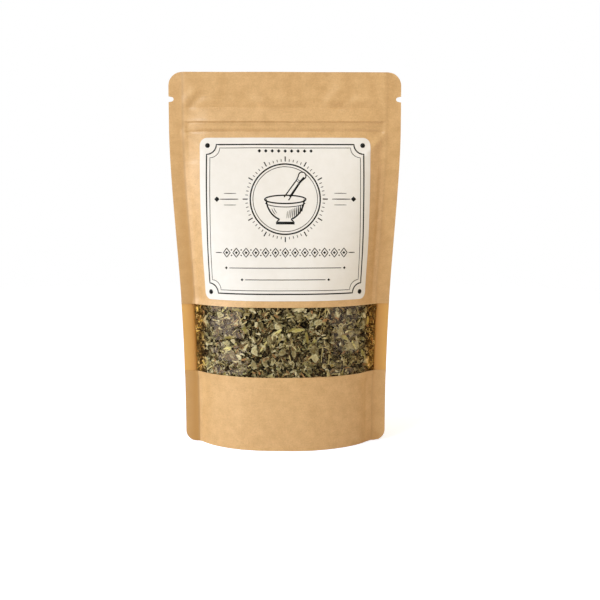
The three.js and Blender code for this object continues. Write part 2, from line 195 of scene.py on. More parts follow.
# %% Reading the net
def read_net(net, along, up):
    """A value of the net at paper coordinates, which may be arrays."""
    column = np.clip(np.abs(along) / NET_STEP, 0, len(NET_ALONG) - 1.001)
    row = np.clip(up / HEIGHT * (len(NET_UP) - 1), 0, len(NET_UP) - 1.001)
    c, r = column.astype(int), row.astype(int)
    dc, dr = column - c, row - r
    lower = net[r, c] * (1 - dc) + net[r, c + 1] * dc
    upper = net[r + 1, c] * (1 - dc) + net[r + 1, c + 1] * dc
    return lower * (1 - dr) + upper * dr


def on_front(along, up, lift):
    """Places in millimetres on the front, lifted outwards from the plain form by a distance."""
    along, up = np.broadcast_arrays(np.asarray(along, float), np.asarray(up, float))
    side = np.sign(along)
    slope_x = read_net(SLOPE_ALONG, along, up) * side
    slope_z = read_net(SLOPE_UP, along, up)
    size = np.sqrt(1 + slope_x**2 + slope_z**2)
    x = read_net(NET_X, along, up) * side - lift * slope_x / size
    y = -(SEAL_HALF + read_net(NET_OUT, along, up)) - lift / size
    z = up - lift * slope_z / size
    return np.stack([x, y, z], axis=-1)


print("middle of the window stands at y =", round(float(on_front(0.0, 60.0, 0.0)[1]), 2))

# %% [markdown]
# ## Helpers for node graphs
#
# The room, the floor and every finish are small graphs of shader nodes. Written out in full, each node takes
# four or five lines and the graph is lost among them. So one helper places a node and plugs its sockets in,
# and the short ones after it give the nodes that come back most often. A colour is written as red, green and
# blue, and `plug` adds the fourth value that Blender wants.


# %% Node helpers
def plug(tree, socket, value):
    """Give a socket another node's output, or a plain value."""
    if isinstance(value, bpy.types.NodeSocket):
        tree.links.new(value, socket)
    elif socket.type == "RGBA":
        socket.default_value = (*value, 1)
    else:
        socket.default_value = value


def add_node(tree, kind, inputs=None, **settings):
    """A node in a tree. inputs gives each named or numbered socket what it gets."""
    made = tree.nodes.new("ShaderNode" + kind)
    for name, value in settings.items():
        setattr(made, name, value)
    for name, value in (inputs or {}).items():
        plug(tree, made.inputs[name], value)
    return made


def math_node(tree, operation, *values):
    return add_node(tree, "Math", dict(enumerate(values)), operation=operation).outputs[0]


def times(tree, first, second):
    return math_node(tree, "MULTIPLY", first, second)


def map_range(tree, value, start, end, low=0.0, high=1.0, **settings):
    """low up to start, high from end on, and the way between them."""
    ends = {"Value": value, "From Min": start, "From Max": end, "To Min": low, "To Max": high}
    return add_node(tree, "MapRange", ends, **settings).outputs[0]


def noise(tree, vector, scale, detail, **more):
    inputs = {"Vector": vector, "Scale": scale, "Detail": detail, **more}
    return add_node(tree, "TexNoise", inputs).outputs[0]


def scaled(tree, vector, scale):
    return add_node(tree, "Mapping", {"Vector": vector, "Scale": scale}).outputs[0]


def mix_colours(tree, share, first, second, blend_type="MIX"):
    inputs = {0: share, 6: first, 7: second}
    return add_node(tree, "Mix", inputs, data_type="RGBA", blend_type=blend_type).outputs[2]


def mix_shaders(tree, share, first, second):
    return add_node(tree, "MixShader", {0: share, 1: first.outputs[0], 2: second.outputs[0]})


# %% Material helpers
def start_material(name, **plain):
    """A material and its Principled shader. Plain values are given as words with _ for a space."""
    material = bpy.data.materials.new(name)
    material.use_nodes = True
    tree = material.node_tree
    shader = tree.nodes["Principled BSDF"]
    for label, value in plain.items():
        plug(tree, shader.inputs[label.replace("_", " ")], value)
    return material, tree, shader


def show(tree, shader):
    """Let another shader than the Principled one reach the surface."""
    tree.links.new(shader.outputs[0], tree.nodes["Material Output"].inputs["Surface"])


def emboss(tree, shader, height, strength, distance):
    """Lay a height over a shader as a bump. distance is in metres."""
    made = add_node(tree, "Bump", {"Height": height, "Strength": strength, "Distance": distance})
    tree.links.new(made.outputs[0], shader.inputs["Normal"])


print("helpers ready in Blender", bpy.app.version_string)

# %% [markdown]
# ## Camera and light
#
# The camera stands about half a metre in front at the height of the label and looks slightly down, so the
# front is seen nearly square. It is made early, so that every piece can be looked at as soon as it exists.
#
# A large cool light high at the front left models the bulge, a second one from the left brightens the side
# that faces it, and a warm room, a little darker on the right, fills the shadows. Two upright panels beside
# the pouch are there for the film: a clear film shows itself only by what it mirrors, and the panels give it
# its pale bands. They light nothing but what mirrors them. The room and the floor are nearly dark to a
# mirror, because a bright room would lay a grey veil over the whole window.
#
# To the camera the floor glows a little and fades away into a white room, so no horizon cuts the background.

# %% Camera
CAMERA_PLACE = (0.0, -0.550, 0.1461)
CAMERA_DOWN = 6.64  # degrees
CAMERA_RIGHT = 0.87  # degrees, which moves the pouch left of the middle
LENS = 58.0

camera = bpy.data.objects.new("camera", bpy.data.cameras.new("camera"))
camera.location = CAMERA_PLACE
camera.rotation_euler = (math.radians(90 - CAMERA_DOWN), 0.0, math.radians(-CAMERA_RIGHT))
camera.data.lens = LENS
camera.data.clip_start = 0.01
bpy.context.scene.collection.objects.link(camera)
bpy.context.scene.camera = camera
print("camera at", CAMERA_PLACE)

# %% Soft lights
bpy.context.scene.view_settings.view_transform = "Standard"
WARM, COOL, BLUISH, ROSY = (1.0, 0.85, 0.58), (0.655, 0.84, 1.0), (0.56, 0.78, 1.0), (1.0, 0.89, 0.88)


def soft_light(name, place, target, size, watts, colour, only_mirrored=False):
    lamp = bpy.data.lights.new(name, "AREA")
    lamp.shape, lamp.size, lamp.size_y = "RECTANGLE", size[0], size[1]
    lamp.energy, lamp.color = watts, colour
    holder = bpy.data.objects.new(name, lamp)
    holder.location = place
    holder.visible_camera = False
    holder.visible_diffuse = not only_mirrored
    holder.rotation_euler = (Vector(target) - Vector(place)).to_track_quat("-Z", "Y").to_euler()
    bpy.context.scene.collection.objects.link(holder)
    print(f"light {name}: {watts} W")


soft_light("key", (-0.85, -0.75, 1.05), (0, 0, 0.1), (0.8, 0.8), 13.6, COOL)
soft_light("side", (-1.20, -0.35, 0.55), (0, 0, 0.1), (0.8, 0.8), 3.5, BLUISH)
soft_light("left_panel", (-0.317, -0.19, 0.15), (0, 0, 0.07), (0.28, 0.30), 0.38, ROSY, True)
soft_light("right_panel", (0.317, -0.19, 0.15), (0, 0, 0.07), (0.28, 0.30), 0.13, ROSY, True)

# %% Room
ROOM_LIGHT, ROOM_FALL, ROOM_MIRRORED = 0.85, -0.27, 0.030  # fall is per unit towards the right

world = bpy.data.worlds.new("studio")
bpy.context.scene.world = world
world.use_nodes = True
tree = world.node_tree
tree.nodes.clear()
toward = add_node(tree, "TexCoord").outputs["Generated"]
to_right = add_node(tree, "SeparateXYZ", {0: toward}).outputs["X"]
fill = math_node(tree, "MULTIPLY_ADD", to_right, ROOM_FALL, ROOM_LIGHT)
lit = add_node(tree, "Background", {"Color": WARM, "Strength": fill})
mirrored = add_node(tree, "Background", {"Color": WARM, "Strength": ROOM_MIRRORED})
seen = add_node(tree, "Background", {"Color": (1, 1, 1)})
path = add_node(tree, "LightPath").outputs
room = mix_shaders(tree, path["Is Glossy Ray"], lit, mirrored)
room = mix_shaders(tree, path["Is Camera Ray"], room, seen)
add_node(tree, "OutputWorld", {"Surface": room.outputs[0]})
print("room:", len(tree.nodes), "nodes")

# %% Floor
FLOOR_BOUNCE, FLOOR_MIRRORED = (0.86, 0.89, 0.94), (0.14, 0.11, 0.08)
FLOOR_FADE = (0.25, 1.0)  # metres from the pouch

bpy.ops.mesh.primitive_plane_add(size=6.0)
floor = bpy.context.object
floor.name = "floor"
paint, tree, board = start_material("floor", Base_Color=(0.62, 0.70, 0.92), Roughness=0.9,
                                    Emission_Color=(1, 1, 1), Emission_Strength=0.58)
path = add_node(tree, "LightPath").outputs
bounce = mix_colours(tree, path["Is Glossy Ray"], FLOOR_BOUNCE, FLOOR_MIRRORED)
matt = add_node(tree, "BsdfDiffuse", {"Color": bounce})
painted = mix_shaders(tree, path["Is Camera Ray"], matt, board)
place = add_node(tree, "TexCoord").outputs["Object"]
away = add_node(tree, "VectorMath", {0: place}, operation="LENGTH").outputs["Value"]
fade = map_range(tree, away, *FLOOR_FADE, interpolation_type="SMOOTHSTEP")
show(tree, mix_shaders(tree, fade, painted, add_node(tree, "BsdfTransparent")))
floor.data.materials.append(paint)
print("floor:", len(tree.nodes), "nodes")

# %% [markdown]
# ## Making a mesh
#
# Every piece is made from arrays of places and faces. Most of them are sheets: two skins on one net of
# columns and rows, closed round the edge, so that each piece is a real solid with a thickness. The paper
# coordinates go into the UV map, in decimetres. A finish that is laid out by them then follows the paper
# round the bulge, as its fibres do.


# %% Meshes from arrays
UV_UNIT = 100.0  # millimetres in the UV map's decimetre


def add_mesh(name, places, faces, uv=None, sharp=None):
    """An object from places in millimetres. uv is one pair for each place."""
    mesh = bpy.data.meshes.new(name)
    mesh.from_pydata((np.asarray(places) * MM).tolist(), [], faces)
    if uv is not None:
        layer = mesh.uv_layers.new(name="along_paper")
        corner = np.empty(len(mesh.loops), np.int32)
        mesh.loops.foreach_get("vertex_index", corner)
        layer.data.foreach_set("uv", np.asarray(uv, np.float32)[corner].ravel())
    mesh.polygons.foreach_set("use_smooth", [True] * len(mesh.polygons))
    if sharp:
        mesh.set_sharp_from_angle(angle=math.radians(sharp))
    piece = bpy.data.objects.new(name, mesh)
    bpy.context.scene.collection.objects.link(piece)
    print(f"{name}: {len(mesh.vertices)} places, {len(mesh.polygons)} faces")
    return piece


# %% Sheets
def sheet_faces(columns, rows):
    """Quads for two skins on one net, the first facing the viewer, and the band that closes them."""
    first = np.arange(columns * rows).reshape(rows, columns)
    second = first + columns * rows
    a, b, c, d = first[:-1, :-1], first[:-1, 1:], first[1:, 1:], first[1:, :-1]
    e, f, g, h = second[:-1, :-1], second[:-1, 1:], second[1:, 1:], second[1:, :-1]
    quads = [np.stack([a, b, c, d], -1).reshape(-1, 4), np.stack([e, h, g, f], -1).reshape(-1, 4)]
    rim = np.concatenate([first[0, :-1], first[:-1, -1], first[-1, :0:-1], first[:0:-1, 0]])
    back = rim + columns * rows
    quads.append(np.stack([rim, back, np.roll(back, -1), np.roll(rim, -1)], -1))
    return np.concatenate(quads)


def add_sheet(name, along, up, face_lift, hidden_lift, place=on_front, flip=False, sharp=50):
    """A thin solid that follows the pouch. along and up are nets of paper coordinates in millimetres."""
    rows, columns = along.shape
    skins = [place(along, up, lift).reshape(-1, 3) for lift in (face_lift, hidden_lift)]
    faces = sheet_faces(columns, rows)
    if flip:
        faces = faces[:, ::-1]
    uv = np.stack([along, up], -1).reshape(-1, 2) / UV_UNIT
    return add_mesh(name, np.concatenate(skins), faces.tolist(), np.concatenate([uv, uv]), sharp)


print("a sheet of 3 by 2 places has", len(sheet_faces(3, 2)), "faces")

# %% [markdown]
# ## Relief of the paper
#
# The plain form has none of the small things that make paper look like paper. They are added as heights on
# top of it, in millimetres, and each is a short function of the paper coordinates:
#
# - the heat seals down the sides are pressed a little flatter than the rest, and the step is worn soft at
#   the lower right, where a hand holds the pouch;
# - the zip's flanges lift the paper in a band, with a groove where the two ribs are pressed together;
# - soft diagonal folds run up the header, where the paper has been handled;
# - at the two shoulders, the flat face and the side turn down in one fold that points at the zip's end;
# - an upright hollow and a ridge beside it run down to the foot at the lower right;
# - small puckers leave the seals, because a straight seal holds a curved panel.
#
# The back has the same relief with its own folds, and less of the zip.


# %% Ridges and folds
def bump(distance, width):
    return np.exp(-((distance / width) ** 2))


def fold(along, up, start, end, width, height):
    """A soft ridge from start to end in paper coordinates. It fades out at both ends."""
    (x0, z0), (x1, z1) = start, end
    length = math.hypot(x1 - x0, z1 - z0)
    dx, dz = (x1 - x0) / length, (z1 - z0) / length
    run = ((along - x0) * dx + (up - z0) * dz) / length
    off = (up - z0) * dx - (along - x0) * dz
    return height * bump(off, width) * smooth(run, -0.15, 0.2) * (1 - smooth(run, 0.7, 1.15))


print("a ridge 2 mm wide is", round(float(bump(2.0, 2.0)), 2), "as high 2 mm away from its line")

# %% Relief of the zip and the seals
RIBS_UP, UPPER_RIB = 182.0, 183.2  # heights of the groove over the closed ribs, and of the upper rib
BAND_STEP, BAND_RISE, BAND_TALL = 0.50, 1.85, 7.4  # the band leans out from a step at its upper edge
LEDGE, GROOVE, LIP = 0.46, 0.16, 0.10
SWELL, SWELL_UP = 0.26, 194.0  # the paper swells once more above the zip
CREASE_DEEP = 0.32  # the line along the zip's lower edge
SEAL_DEEP, WELT, HEM = 0.16, 0.10, 0.07


def zip_relief(along, up):
    """The zip seen through the paper: a band that slopes out, a ledge at the ribs, and an upright strip."""
    step = BAND_STEP * smooth(-up, -ZIP_HIGH - 0.4, -ZIP_HIGH + 0.3)
    upper = step + BAND_RISE * np.clip((ZIP_HIGH - up) / BAND_TALL, 0, 1)
    lip = LIP * bump(up - UPPER_RIB, 0.5) + SWELL * bump(up - SWELL_UP, 2.3)
    ledge = LEDGE * smooth(-up, -182.8, -182.3) + GROOVE * bump(up - RIBS_UP, 0.4)
    lower = 0.50 * np.clip((RIBS_UP - up) / 3.3, 0, 1) + 0.70 * smooth(-up, -179.0, -177.0)
    crease = CREASE_DEEP * bump(up - ZIP_LOW, 0.6) * smooth(up, ZIP_LOW - 2, ZIP_LOW)
    inward = HALF_BODY - np.abs(along)
    return (upper - lower) * smooth(inward, -1.0, 15.0) + (lip - ledge - crease) * smooth(inward, 0.2, 3.0)


def seal_relief(along, up):
    """The step at the seals, the welt that their heat leaves beside the zip, and the line along the top."""
    inside = HALF_BODY - np.abs(along)
    rubbed = smooth(along, 20.0, 45.0) * (1 - smooth(up, 38.0, 44.0))
    unpressed = SEAL_DEEP * smooth(inside, -0.5 - 2.0 * rubbed, 0.3 + 1.5 * rubbed)
    welt = WELT * bump(np.abs(along) - HALF_BODY + 1.0, 0.5) * smooth(up, ZIP_LOW - 12, ZIP_LOW)
    hem = HEM * bump(up - (HEIGHT - 3.4), 0.4)
    return unpressed + welt + hem


print("zip relief in the middle, mm:", [round(float(zip_relief(0.0, v)), 2) for v in (190.0, RIBS_UP, 178.0)])

# %% Folds
# Each is start and end in paper coordinates, width and height.
HEADER_FOLDS = [
    ((-56.5, 193.0), (-49.0, 201.5), 2.2, 0.36),
    ((-54.5, 190.0), (-45.5, 197.5), 1.8, -0.42),
    ((-43.0, 190.5), (-33.0, 203.0), 3.2, 0.14),
    ((-30.0, 190.5), (-21.0, 204.0), 3.6, -0.12),
    ((-8.0, 190.5), (0.0, 205.0), 4.0, 0.10),
    ((21.5, 191.5), (34.0, 204.0), 2.6, 0.32),
    ((28.0, 188.5), (39.5, 198.0), 2.2, -0.36),
    ((50.5, 208.5), (58.5, 200.5), 1.4, 0.20),
    ((43.0, 203.5), (51.0, 190.5), 2.6, 0.16),
    ((49.5, 203.0), (55.0, 190.0), 2.0, -0.22),
]
SHOULDER_FOLDS = [
    ((-57.0, 177.0), (-45.0, 165.0), 2.0, 0.55),
    ((57.0, 177.0), (44.5, 163.5), 2.0, 0.75),
    ((54.6, 172.0), (54.4, 80.0), 1.5, -0.40),
    ((-56.0, 168.5), (-49.5, 160.0), 1.8, -0.25),
    ((55.5, 168.0), (49.5, 157.0), 1.8, -0.30),
]
FOOT_FOLDS = [
    ((51.4, 42.0), (51.8, 2.0), 1.5, -0.38),
    ((54.2, 42.0), (54.6, 2.0), 1.0, 0.22),
]


def pucker_folds(seed):
    """Small folds that leave the seals at uneven heights."""
    draw = np.random.default_rng(seed)
    folds = []
    for side in (-1, 1):
        up = 12.0
        while up < 165.0:
            reach = draw.uniform(5.0, 11.0)
            end = (side * (HALF_BODY - reach), up + draw.uniform(-3.0, 3.0))
            start = (side * (HALF_BODY + 0.5), up)
            folds.append((start, end, draw.uniform(1.0, 2.2), draw.uniform(-0.16, 0.20)))
            up += draw.uniform(9.0, 22.0)
    return folds


print(len(HEADER_FOLDS + SHOULDER_FOLDS + FOOT_FOLDS), "folds drawn by hand")


# %% All the relief of a panel
def sway(along, up, seed):
    """The slow unevenness of handled paper: a few long waves."""
    draw = np.random.default_rng(seed)
    total = np.zeros(np.shape(along))
    for _ in range(7):
        turn, length = draw.uniform(0, math.pi), draw.uniform(24.0, 60.0)
        phase = 2 * math.pi * (along * math.cos(turn) + up * math.sin(turn)) / length
        total = total + draw.uniform(0.03, 0.10) * np.sin(phase + draw.uniform(0, 6.28))
    return total


def relief(along, up, seed, folds, zip_share=1.0):
    """All the relief of one panel. It never pushes the panel through the other one."""
    room = read_net(NET_OUT, along, up)
    soft = smooth(room, 0.0, 3.0) * sway(along, up, seed)
    for each in folds:
        soft = soft + fold(along, up, *each)
    return zip_share * zip_relief(along, up) + seal_relief(along, up) + np.maximum(soft, -0.6 * room)


# %% [markdown]
# ## The header leans
#
# Above the filling the two panels lie together, and the free edge is never quite flat: it waves a little from
# front to back, and the folds of handling go through both. So this relief is a shift of the plane between
# the panels, and both of them take it.


# %% Front and back with their shared wave
WAVE_TALL, WAVE_LONG, WAVE_START, WAVE_LEAN = 0.5, 24.0, -0.9, 0.1


def header_wave(along, up):
    """How far the plane between the panels lies behind the middle of the pouch."""
    free = smooth(up, 186.0, HEIGHT)
    wave = free * (WAVE_TALL * np.sin(along / WAVE_LONG + WAVE_START) + WAVE_LEAN)
    handled = sway(along, up, 7) + 0.7 * sway(2.2 * along, 2.2 * up, 8)
    total = wave - smooth(up, 189.0, 195.0) * handled
    for each in HEADER_FOLDS:
        total = total - fold(along, up, *each)
    return total


FRONT_SEED, BACK_SEED = 11, 29
BACK_ZIP_SHARE = 0.4  # how much of the zip shows from behind
FRONT_FOLDS = SHOULDER_FOLDS + FOOT_FOLDS + pucker_folds(FRONT_SEED)
BACK_FOLDS = SHOULDER_FOLDS + pucker_folds(BACK_SEED)


def front_paper(along, up, lift):
    """The front panel's outer face, with all its relief, lifted outwards by a distance."""
    places = on_front(along, up, lift + relief(along, up, FRONT_SEED, FRONT_FOLDS))
    places[..., 1] += header_wave(along, up)
    return places


def back_paper(along, up, lift):
    """The back panel's outer face. along still runs to +X."""
    places = on_front(along, up, lift + relief(along, up, BACK_SEED, BACK_FOLDS, BACK_ZIP_SHARE))
    places[..., 1] = header_wave(along, up) - places[..., 1]
    return places


print(len(FRONT_FOLDS), "folds on the front,", len(BACK_FOLDS), "on the back")

# %% [markdown]
# ## Kraft panels
#
# A real panel is cut from the web by a die, which also rounds the corners and bites the two tear notches out
# of the seals. A boolean cut would do it here, but it leaves long thin faces. Instead the outermost columns
# of the net are moved in to the cut line at each height, so the faces stay even and the edge stays clean.

# %% The cut edge of a panel
TOP_CORNER, FOOT_CORNER = 7.6, 6.2
NOTCH_UP, NOTCH_DEPTH, NOTCH_HALF = 195.0, 2.8, 1.4


def corner_cut(radius, distance):
    inside = np.clip(radius - distance, 0, radius)
    return radius - np.sqrt(radius**2 - inside**2)


def cut_edge(up):
    """Paper coordinate of the cut edge at a height."""
    off = np.abs(up - NOTCH_UP) / NOTCH_HALF
    notch = NOTCH_DEPTH * np.sqrt(np.clip(1 - off**2, 0, 1)) ** 0.6
    corners = corner_cut(TOP_CORNER, HEIGHT - up) + corner_cut(FOOT_CORNER, up)
    return HALF_WIDTH - np.maximum(corners, notch)


print("paper left at the notch:", round(float(cut_edge(NOTCH_UP)), 1), "mm from the middle")

# %% The net of a panel
EDGE_STEP, ZIP_STEP = 0.35, 0.4  # between rows at the cut corners and notches, and over the zip
PANEL_GAP = 0.12  # the least distance between two rows


def merged(lists, gap):
    """The values of several lists in order, without those that follow another by the gap or less."""
    values = np.unique(np.concatenate(lists))
    return values[np.concatenate([[True], np.diff(values) > gap])]


def panel_net(low, high, pitch):
    """Nets of along and up for a panel between two heights, closer together where the edge is cut."""
    fine = [np.linspace(max(low, a), min(high, b), max(3, int(abs(b - a) / EDGE_STEP)))
            for a, b in ((0, FOOT_CORNER), (NOTCH_UP - 1.6, NOTCH_UP + 1.6), (HEIGHT - TOP_CORNER, HEIGHT))
            if a < high and b > low]
    close = np.arange(max(low, 176.0), min(high, 191.5), ZIP_STEP)
    plain = np.linspace(low, high, max(3, int((high - low) / pitch) + 1))
    ups = merged([np.round(part, 3) for part in (plain, *fine, close)], PANEL_GAP)
    ups[0], ups[-1] = low, high
    body = np.linspace(-HALF_BODY, HALF_BODY, int(2 * HALF_BODY / pitch) + 1)
    seal = np.linspace(0.0, 1.0, 9)[1:]
    edge = cut_edge(ups)[:, None] - HALF_BODY
    left = -HALF_BODY - edge * seal[::-1]
    right = HALF_BODY + edge * seal
    along = np.hstack([left, np.tile(body, (len(ups), 1)), right])
    return along, np.broadcast_to(ups[:, None], along.shape)


# %% The three kraft panels
PITCH = 1.0
upper_net = panel_net(WINDOW_HIGH, HEIGHT, PITCH)
lower_net = panel_net(0.0, WINDOW_LOW, PITCH)
back_net = panel_net(0.0, HEIGHT, PITCH)
front_upper = add_sheet("kraft_front_upper", *upper_net, 0.0, -PAPER, front_paper)
front_lower = add_sheet("kraft_front_lower", *lower_net, 0.0, -PAPER, front_paper)
back = add_sheet("kraft_back", *back_net, 0.0, -PAPER, back_paper, flip=True)

# %% [markdown]
# ## Finishes
#
# Only what changes over a surface is plugged into its shader, and everything else is set on the shader
# itself. An effect that more than one material needs is a node group. It starts with what comes in, and
# `close_group` gives it one output for each result. `dress` puts the finish on a piece and hides the solids
# of the model that the piece stands for.


# %% Groups and dressing
def new_group(name, inputs):
    """A node group and what comes into it. inputs gives each name its kind of socket."""
    group = bpy.data.node_groups.new(name, "ShaderNodeTree")
    for label, kind in inputs.items():
        group.interface.new_socket(label, in_out="INPUT", socket_type="NodeSocket" + kind)
    return group, group.nodes.new("NodeGroupInput").outputs


def close_group(group, **results):
    for label in results:
        group.interface.new_socket(label, in_out="OUTPUT", socket_type="NodeSocketFloat")
    outward = group.nodes.new("NodeGroupOutput")
    for label, value in results.items():
        group.links.new(value, outward.inputs[label])
    print(f"group {group.name}: {len(group.nodes)} nodes")


def place_group(tree, group, inputs):
    return add_node(tree, "Group", inputs, node_tree=group).outputs


def paper_uv(tree):
    return add_node(tree, "UVMap", uv_map="along_paper").outputs[0]


def dress(piece, material, *nodes, slot=None):
    """Give a piece its finish, put it on the pouch's body and hide the solids it stands for."""
    piece.data.materials.clear()
    piece.data.materials.append(material)
    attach(piece, "root")
    if nodes:
        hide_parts(*nodes)
    print(f"{piece.name} is finished in {material.name}")


# %% [markdown]
# ## Paper
#
# Kraft paper and label paper are both mats of fibre. What differs is the colour, how long the fibres are and
# how many stray dark ones there are. So the fibre is one node group, placed in each paper with its own
# values. It gives a fine streak that runs with the fibres, a slow cloudiness like the one seen when paper is
# held to the light, a speckle a millimetre across, a mask of stray flecks, and a height for the bump.

# %% Fibre group
FINE, BROAD, STRAY = (70, 420, 1), (9, 110, 1), (70, 190, 1)  # per decimetre, along X and upwards

fibre_group, given = new_group("paper_fibre", {"Vector": "Vector", "Stray flecks": "Float"})
tree, spot = fibre_group, given["Vector"]
fine = noise(tree, scaled(tree, spot, FINE), 1.0, 4.0, Distortion=0.6)
broad = noise(tree, scaled(tree, spot, BROAD), 1.0, 3.0)
cloud = noise(tree, spot, 16.0, 6.0, Roughness=0.70)
speckle = noise(tree, spot, 120.0, 2.0)
stray = noise(tree, scaled(tree, spot, STRAY), 1.0, 2.0, Distortion=1.5)
streak = math_node(tree, "MULTIPLY_ADD", broad, 0.55, times(tree, fine, 0.45))
threshold = math_node(tree, "MULTIPLY_ADD", given["Stray flecks"], -0.12, 0.78)
fleck = times(tree, math_node(tree, "SUBTRACT", stray, threshold), 14.0)
fleck = add_node(tree, "Clamp", {"Value": fleck}).outputs[0]
height = math_node(tree, "MULTIPLY_ADD", cloud, 1.4, fine)
close_group(fibre_group, Streak=streak, Cloud=cloud, Speckle=speckle, Fleck=fleck, Height=height)

# %% [markdown]
# Brown kraft is a warm tan. Heat and pressure in the side seals close the sheet up and drive the laminate
# into it, so the seals are deeper in colour, and they are darkened further towards the foot and next to the
# filling. The press was a little hotter on the left. The mask for that needs no painting: it is the paper
# coordinate itself, read from the UV map. A thin dark line along the crease beside the filling is painted
# shade. The laminated inner face is deeper still, and darkest next to the seals, where the filling has oiled
# it and painted shade stands for the shadow of the narrow wedge there.

# %% Kraft colours and the marks of the seal
KRAFT_LIGHT = (0.735, 0.447, 0.205)
KRAFT_DARK = (0.595, 0.338, 0.138)
# the colour of the stray flecks, and of the painted shade in the crease beside the filling
KRAFT_FLECK_AND_SHADE = (0.34, 0.19, 0.08)
KRAFT_SEALED = (0.525, 0.265, 0.068)
KRAFT_INSIDE = (0.74, 0.385, 0.092)
# the inner face next to the seals: oiled by the filling, and painted shade of the narrow wedge
KRAFT_OILED_AND_SHADED = (0.56, 0.225, 0.028)
LEFT_HEAT, RIGHT_HEAT = 1.35, 0.42  # how strongly each side of the press darkens its seal
INNER_DARKENING, OUTER_DARKENING = 1.2, 0.45  # next to the filling, and at the cut edge
SEAL_PALE_UP, SEAL_DARK_UP = 1.9, 0.3  # decimetres, between which the seal darkens downwards
SEAL_PALE = 0.15  # what is left of the darkening at the top
# painted shade: width and darkness of a thin dark line along the crease beside the filling
CREASE_SHADE_WIDE, CREASE_SHADE_DARK = 0.011, 0.32  # the line beside the filling


def seal_marks(tree, uv, sealed_share):
    """Masks for the pressed seal and for the painted shade line in the crease beside the filling."""
    along, up, _ = add_node(tree, "SeparateXYZ", {0: uv}).outputs
    across = math_node(tree, "ABSOLUTE", along)
    start, end = (HALF_BODY - 0.4) / UV_UNIT, (HALF_BODY + 0.3) / UV_UNIT
    pressed = map_range(tree, across, start, end, interpolation_type="SMOOTHSTEP")
    foot = map_range(tree, up, SEAL_PALE_UP, SEAL_DARK_UP, SEAL_PALE * sealed_share, sealed_share)
    uneven = map_range(tree, along, -0.5, 0.5, LEFT_HEAT, RIGHT_HEAT)
    outward = map_range(tree, across, HALF_BODY / UV_UNIT, HALF_WIDTH / UV_UNIT, INNER_DARKENING, OUTER_DARKENING)
    pressed = times(tree, pressed, times(tree, uneven, outward))
    # painted shade along the crease beside the filling
    crease_shade = math_node(tree, "SUBTRACT", across, (HALF_BODY + 0.2) / UV_UNIT)
    crease_shade = map_range(tree, math_node(tree, "ABSOLUTE", crease_shade), 0.0, CREASE_SHADE_WIDE, sealed_share, 0.0)
    crease_shade = times(tree, crease_shade, uneven)
    return across, times(tree, pressed, foot), times(tree, crease_shade, CREASE_SHADE_DARK)


print("seals darken over the lowest", SEAL_PALE_UP, "dm")

# %% Kraft finish
TONE_START = -1.8
TONE_SHARES = {"Streak": 0.7, "Speckle": 1.4, "Cloud": 2.5}  # how much each effect moves the tone
FLECK_SHARE = 0.4
OIL_AND_SHADE_SHARE = 0.8


def kraft_finish(name, sealed_share, inside=0.0, rough=0.43):
    """sealed_share is how far the seals darken at the foot. inside blends to the look of the inner face."""
    material, tree, shader = start_material(name, Roughness=rough, Specular_IOR_Level=1.0)
    uv = paper_uv(tree)
    fibre = place_group(tree, fibre_group, {"Vector": uv, "Stray flecks": 1.0})
    blend = TONE_START
    for effect, share in TONE_SHARES.items():
        blend = math_node(tree, "MULTIPLY_ADD", fibre[effect], share, blend)
    colour = mix_colours(tree, blend, KRAFT_DARK, KRAFT_LIGHT)
    across, pressed, crease_shade = seal_marks(tree, uv, sealed_share)
    colour = mix_colours(tree, pressed, colour, KRAFT_SEALED)
    # painted shade in the crease beside the filling
    colour = mix_colours(tree, crease_shade, colour, KRAFT_FLECK_AND_SHADE)
    colour = mix_colours(tree, times(tree, fibre["Fleck"], FLECK_SHARE), colour, KRAFT_FLECK_AND_SHADE)
    if inside:
        # darker towards the crease: partly oil from the filling, partly painted shade of the narrow wedge
        oiled_and_shaded = map_range(tree, across, (HALF_BODY + 6.5) / UV_UNIT, (HALF_BODY + 1.5) / UV_UNIT)
        oiled_and_shaded = times(tree, oiled_and_shaded, OIL_AND_SHADE_SHARE)
        lining = mix_colours(tree, oiled_and_shaded, KRAFT_INSIDE, KRAFT_OILED_AND_SHADED)
        colour = mix_colours(tree, inside, colour, lining)
    plug(tree, shader.inputs["Base Color"], colour)
    emboss(tree, shader, fibre["Height"], 0.22, 0.00012)
    return material


def line_inside(piece, net):
    """Give the hidden skin of a sheet the finish of the laminated inner face."""
    rows, columns = net[0].shape
    piece.data.materials.append(kraft_inside)
    quads = (columns - 1) * (rows - 1)
    places = np.zeros(len(piece.data.polygons), np.int32)
    places[quads:2 * quads] = 1
    piece.data.polygons.foreach_set("material_index", places)


# %% Dress the panels
kraft = kraft_finish("kraft_paper", 0.8)
kraft_inside = kraft_finish("kraft_inside", 0.0, inside=0.85, rough=0.32)
for panel, net, node in ((front_upper, upper_net, "front_upper_panel"),
                         (front_lower, lower_net, "front_lower_panel"), (back, back_net, "back_panel")):
    dress(panel, kraft, node, slot="kraft_paper")
    line_inside(panel, net)

# %% [markdown]
# ## The floor of the pouch
#
# The floor is one more sheet of the same paper, folded once along its middle and sealed between the panels.
# Filled, it opens flat onto the table in the middle and rises to its fold at the two side seals. From below
# it looks like a boat. It is made on a net of shares: how far across, and how far from front to back.

# %% Floor sheet
FOLD_HEIGHT, LIP_HEIGHT = 40.0, 5.0
PAD_ACROSS, PAD_DEEP = 0.55, 0.6
FLOOR_REACH = 0.985  # the share of the way out to the seals
FLOOR_GAP, FLOOR_PAPER = 0.15, 0.35  # to the panels, and its thickness
FLOOR_CREASE = 0.25  # depth of the line along its fold


def floor_lip(share):
    return LIP_HEIGHT + (FOLD_HEIGHT - LIP_HEIGHT) * np.abs(share) ** 3


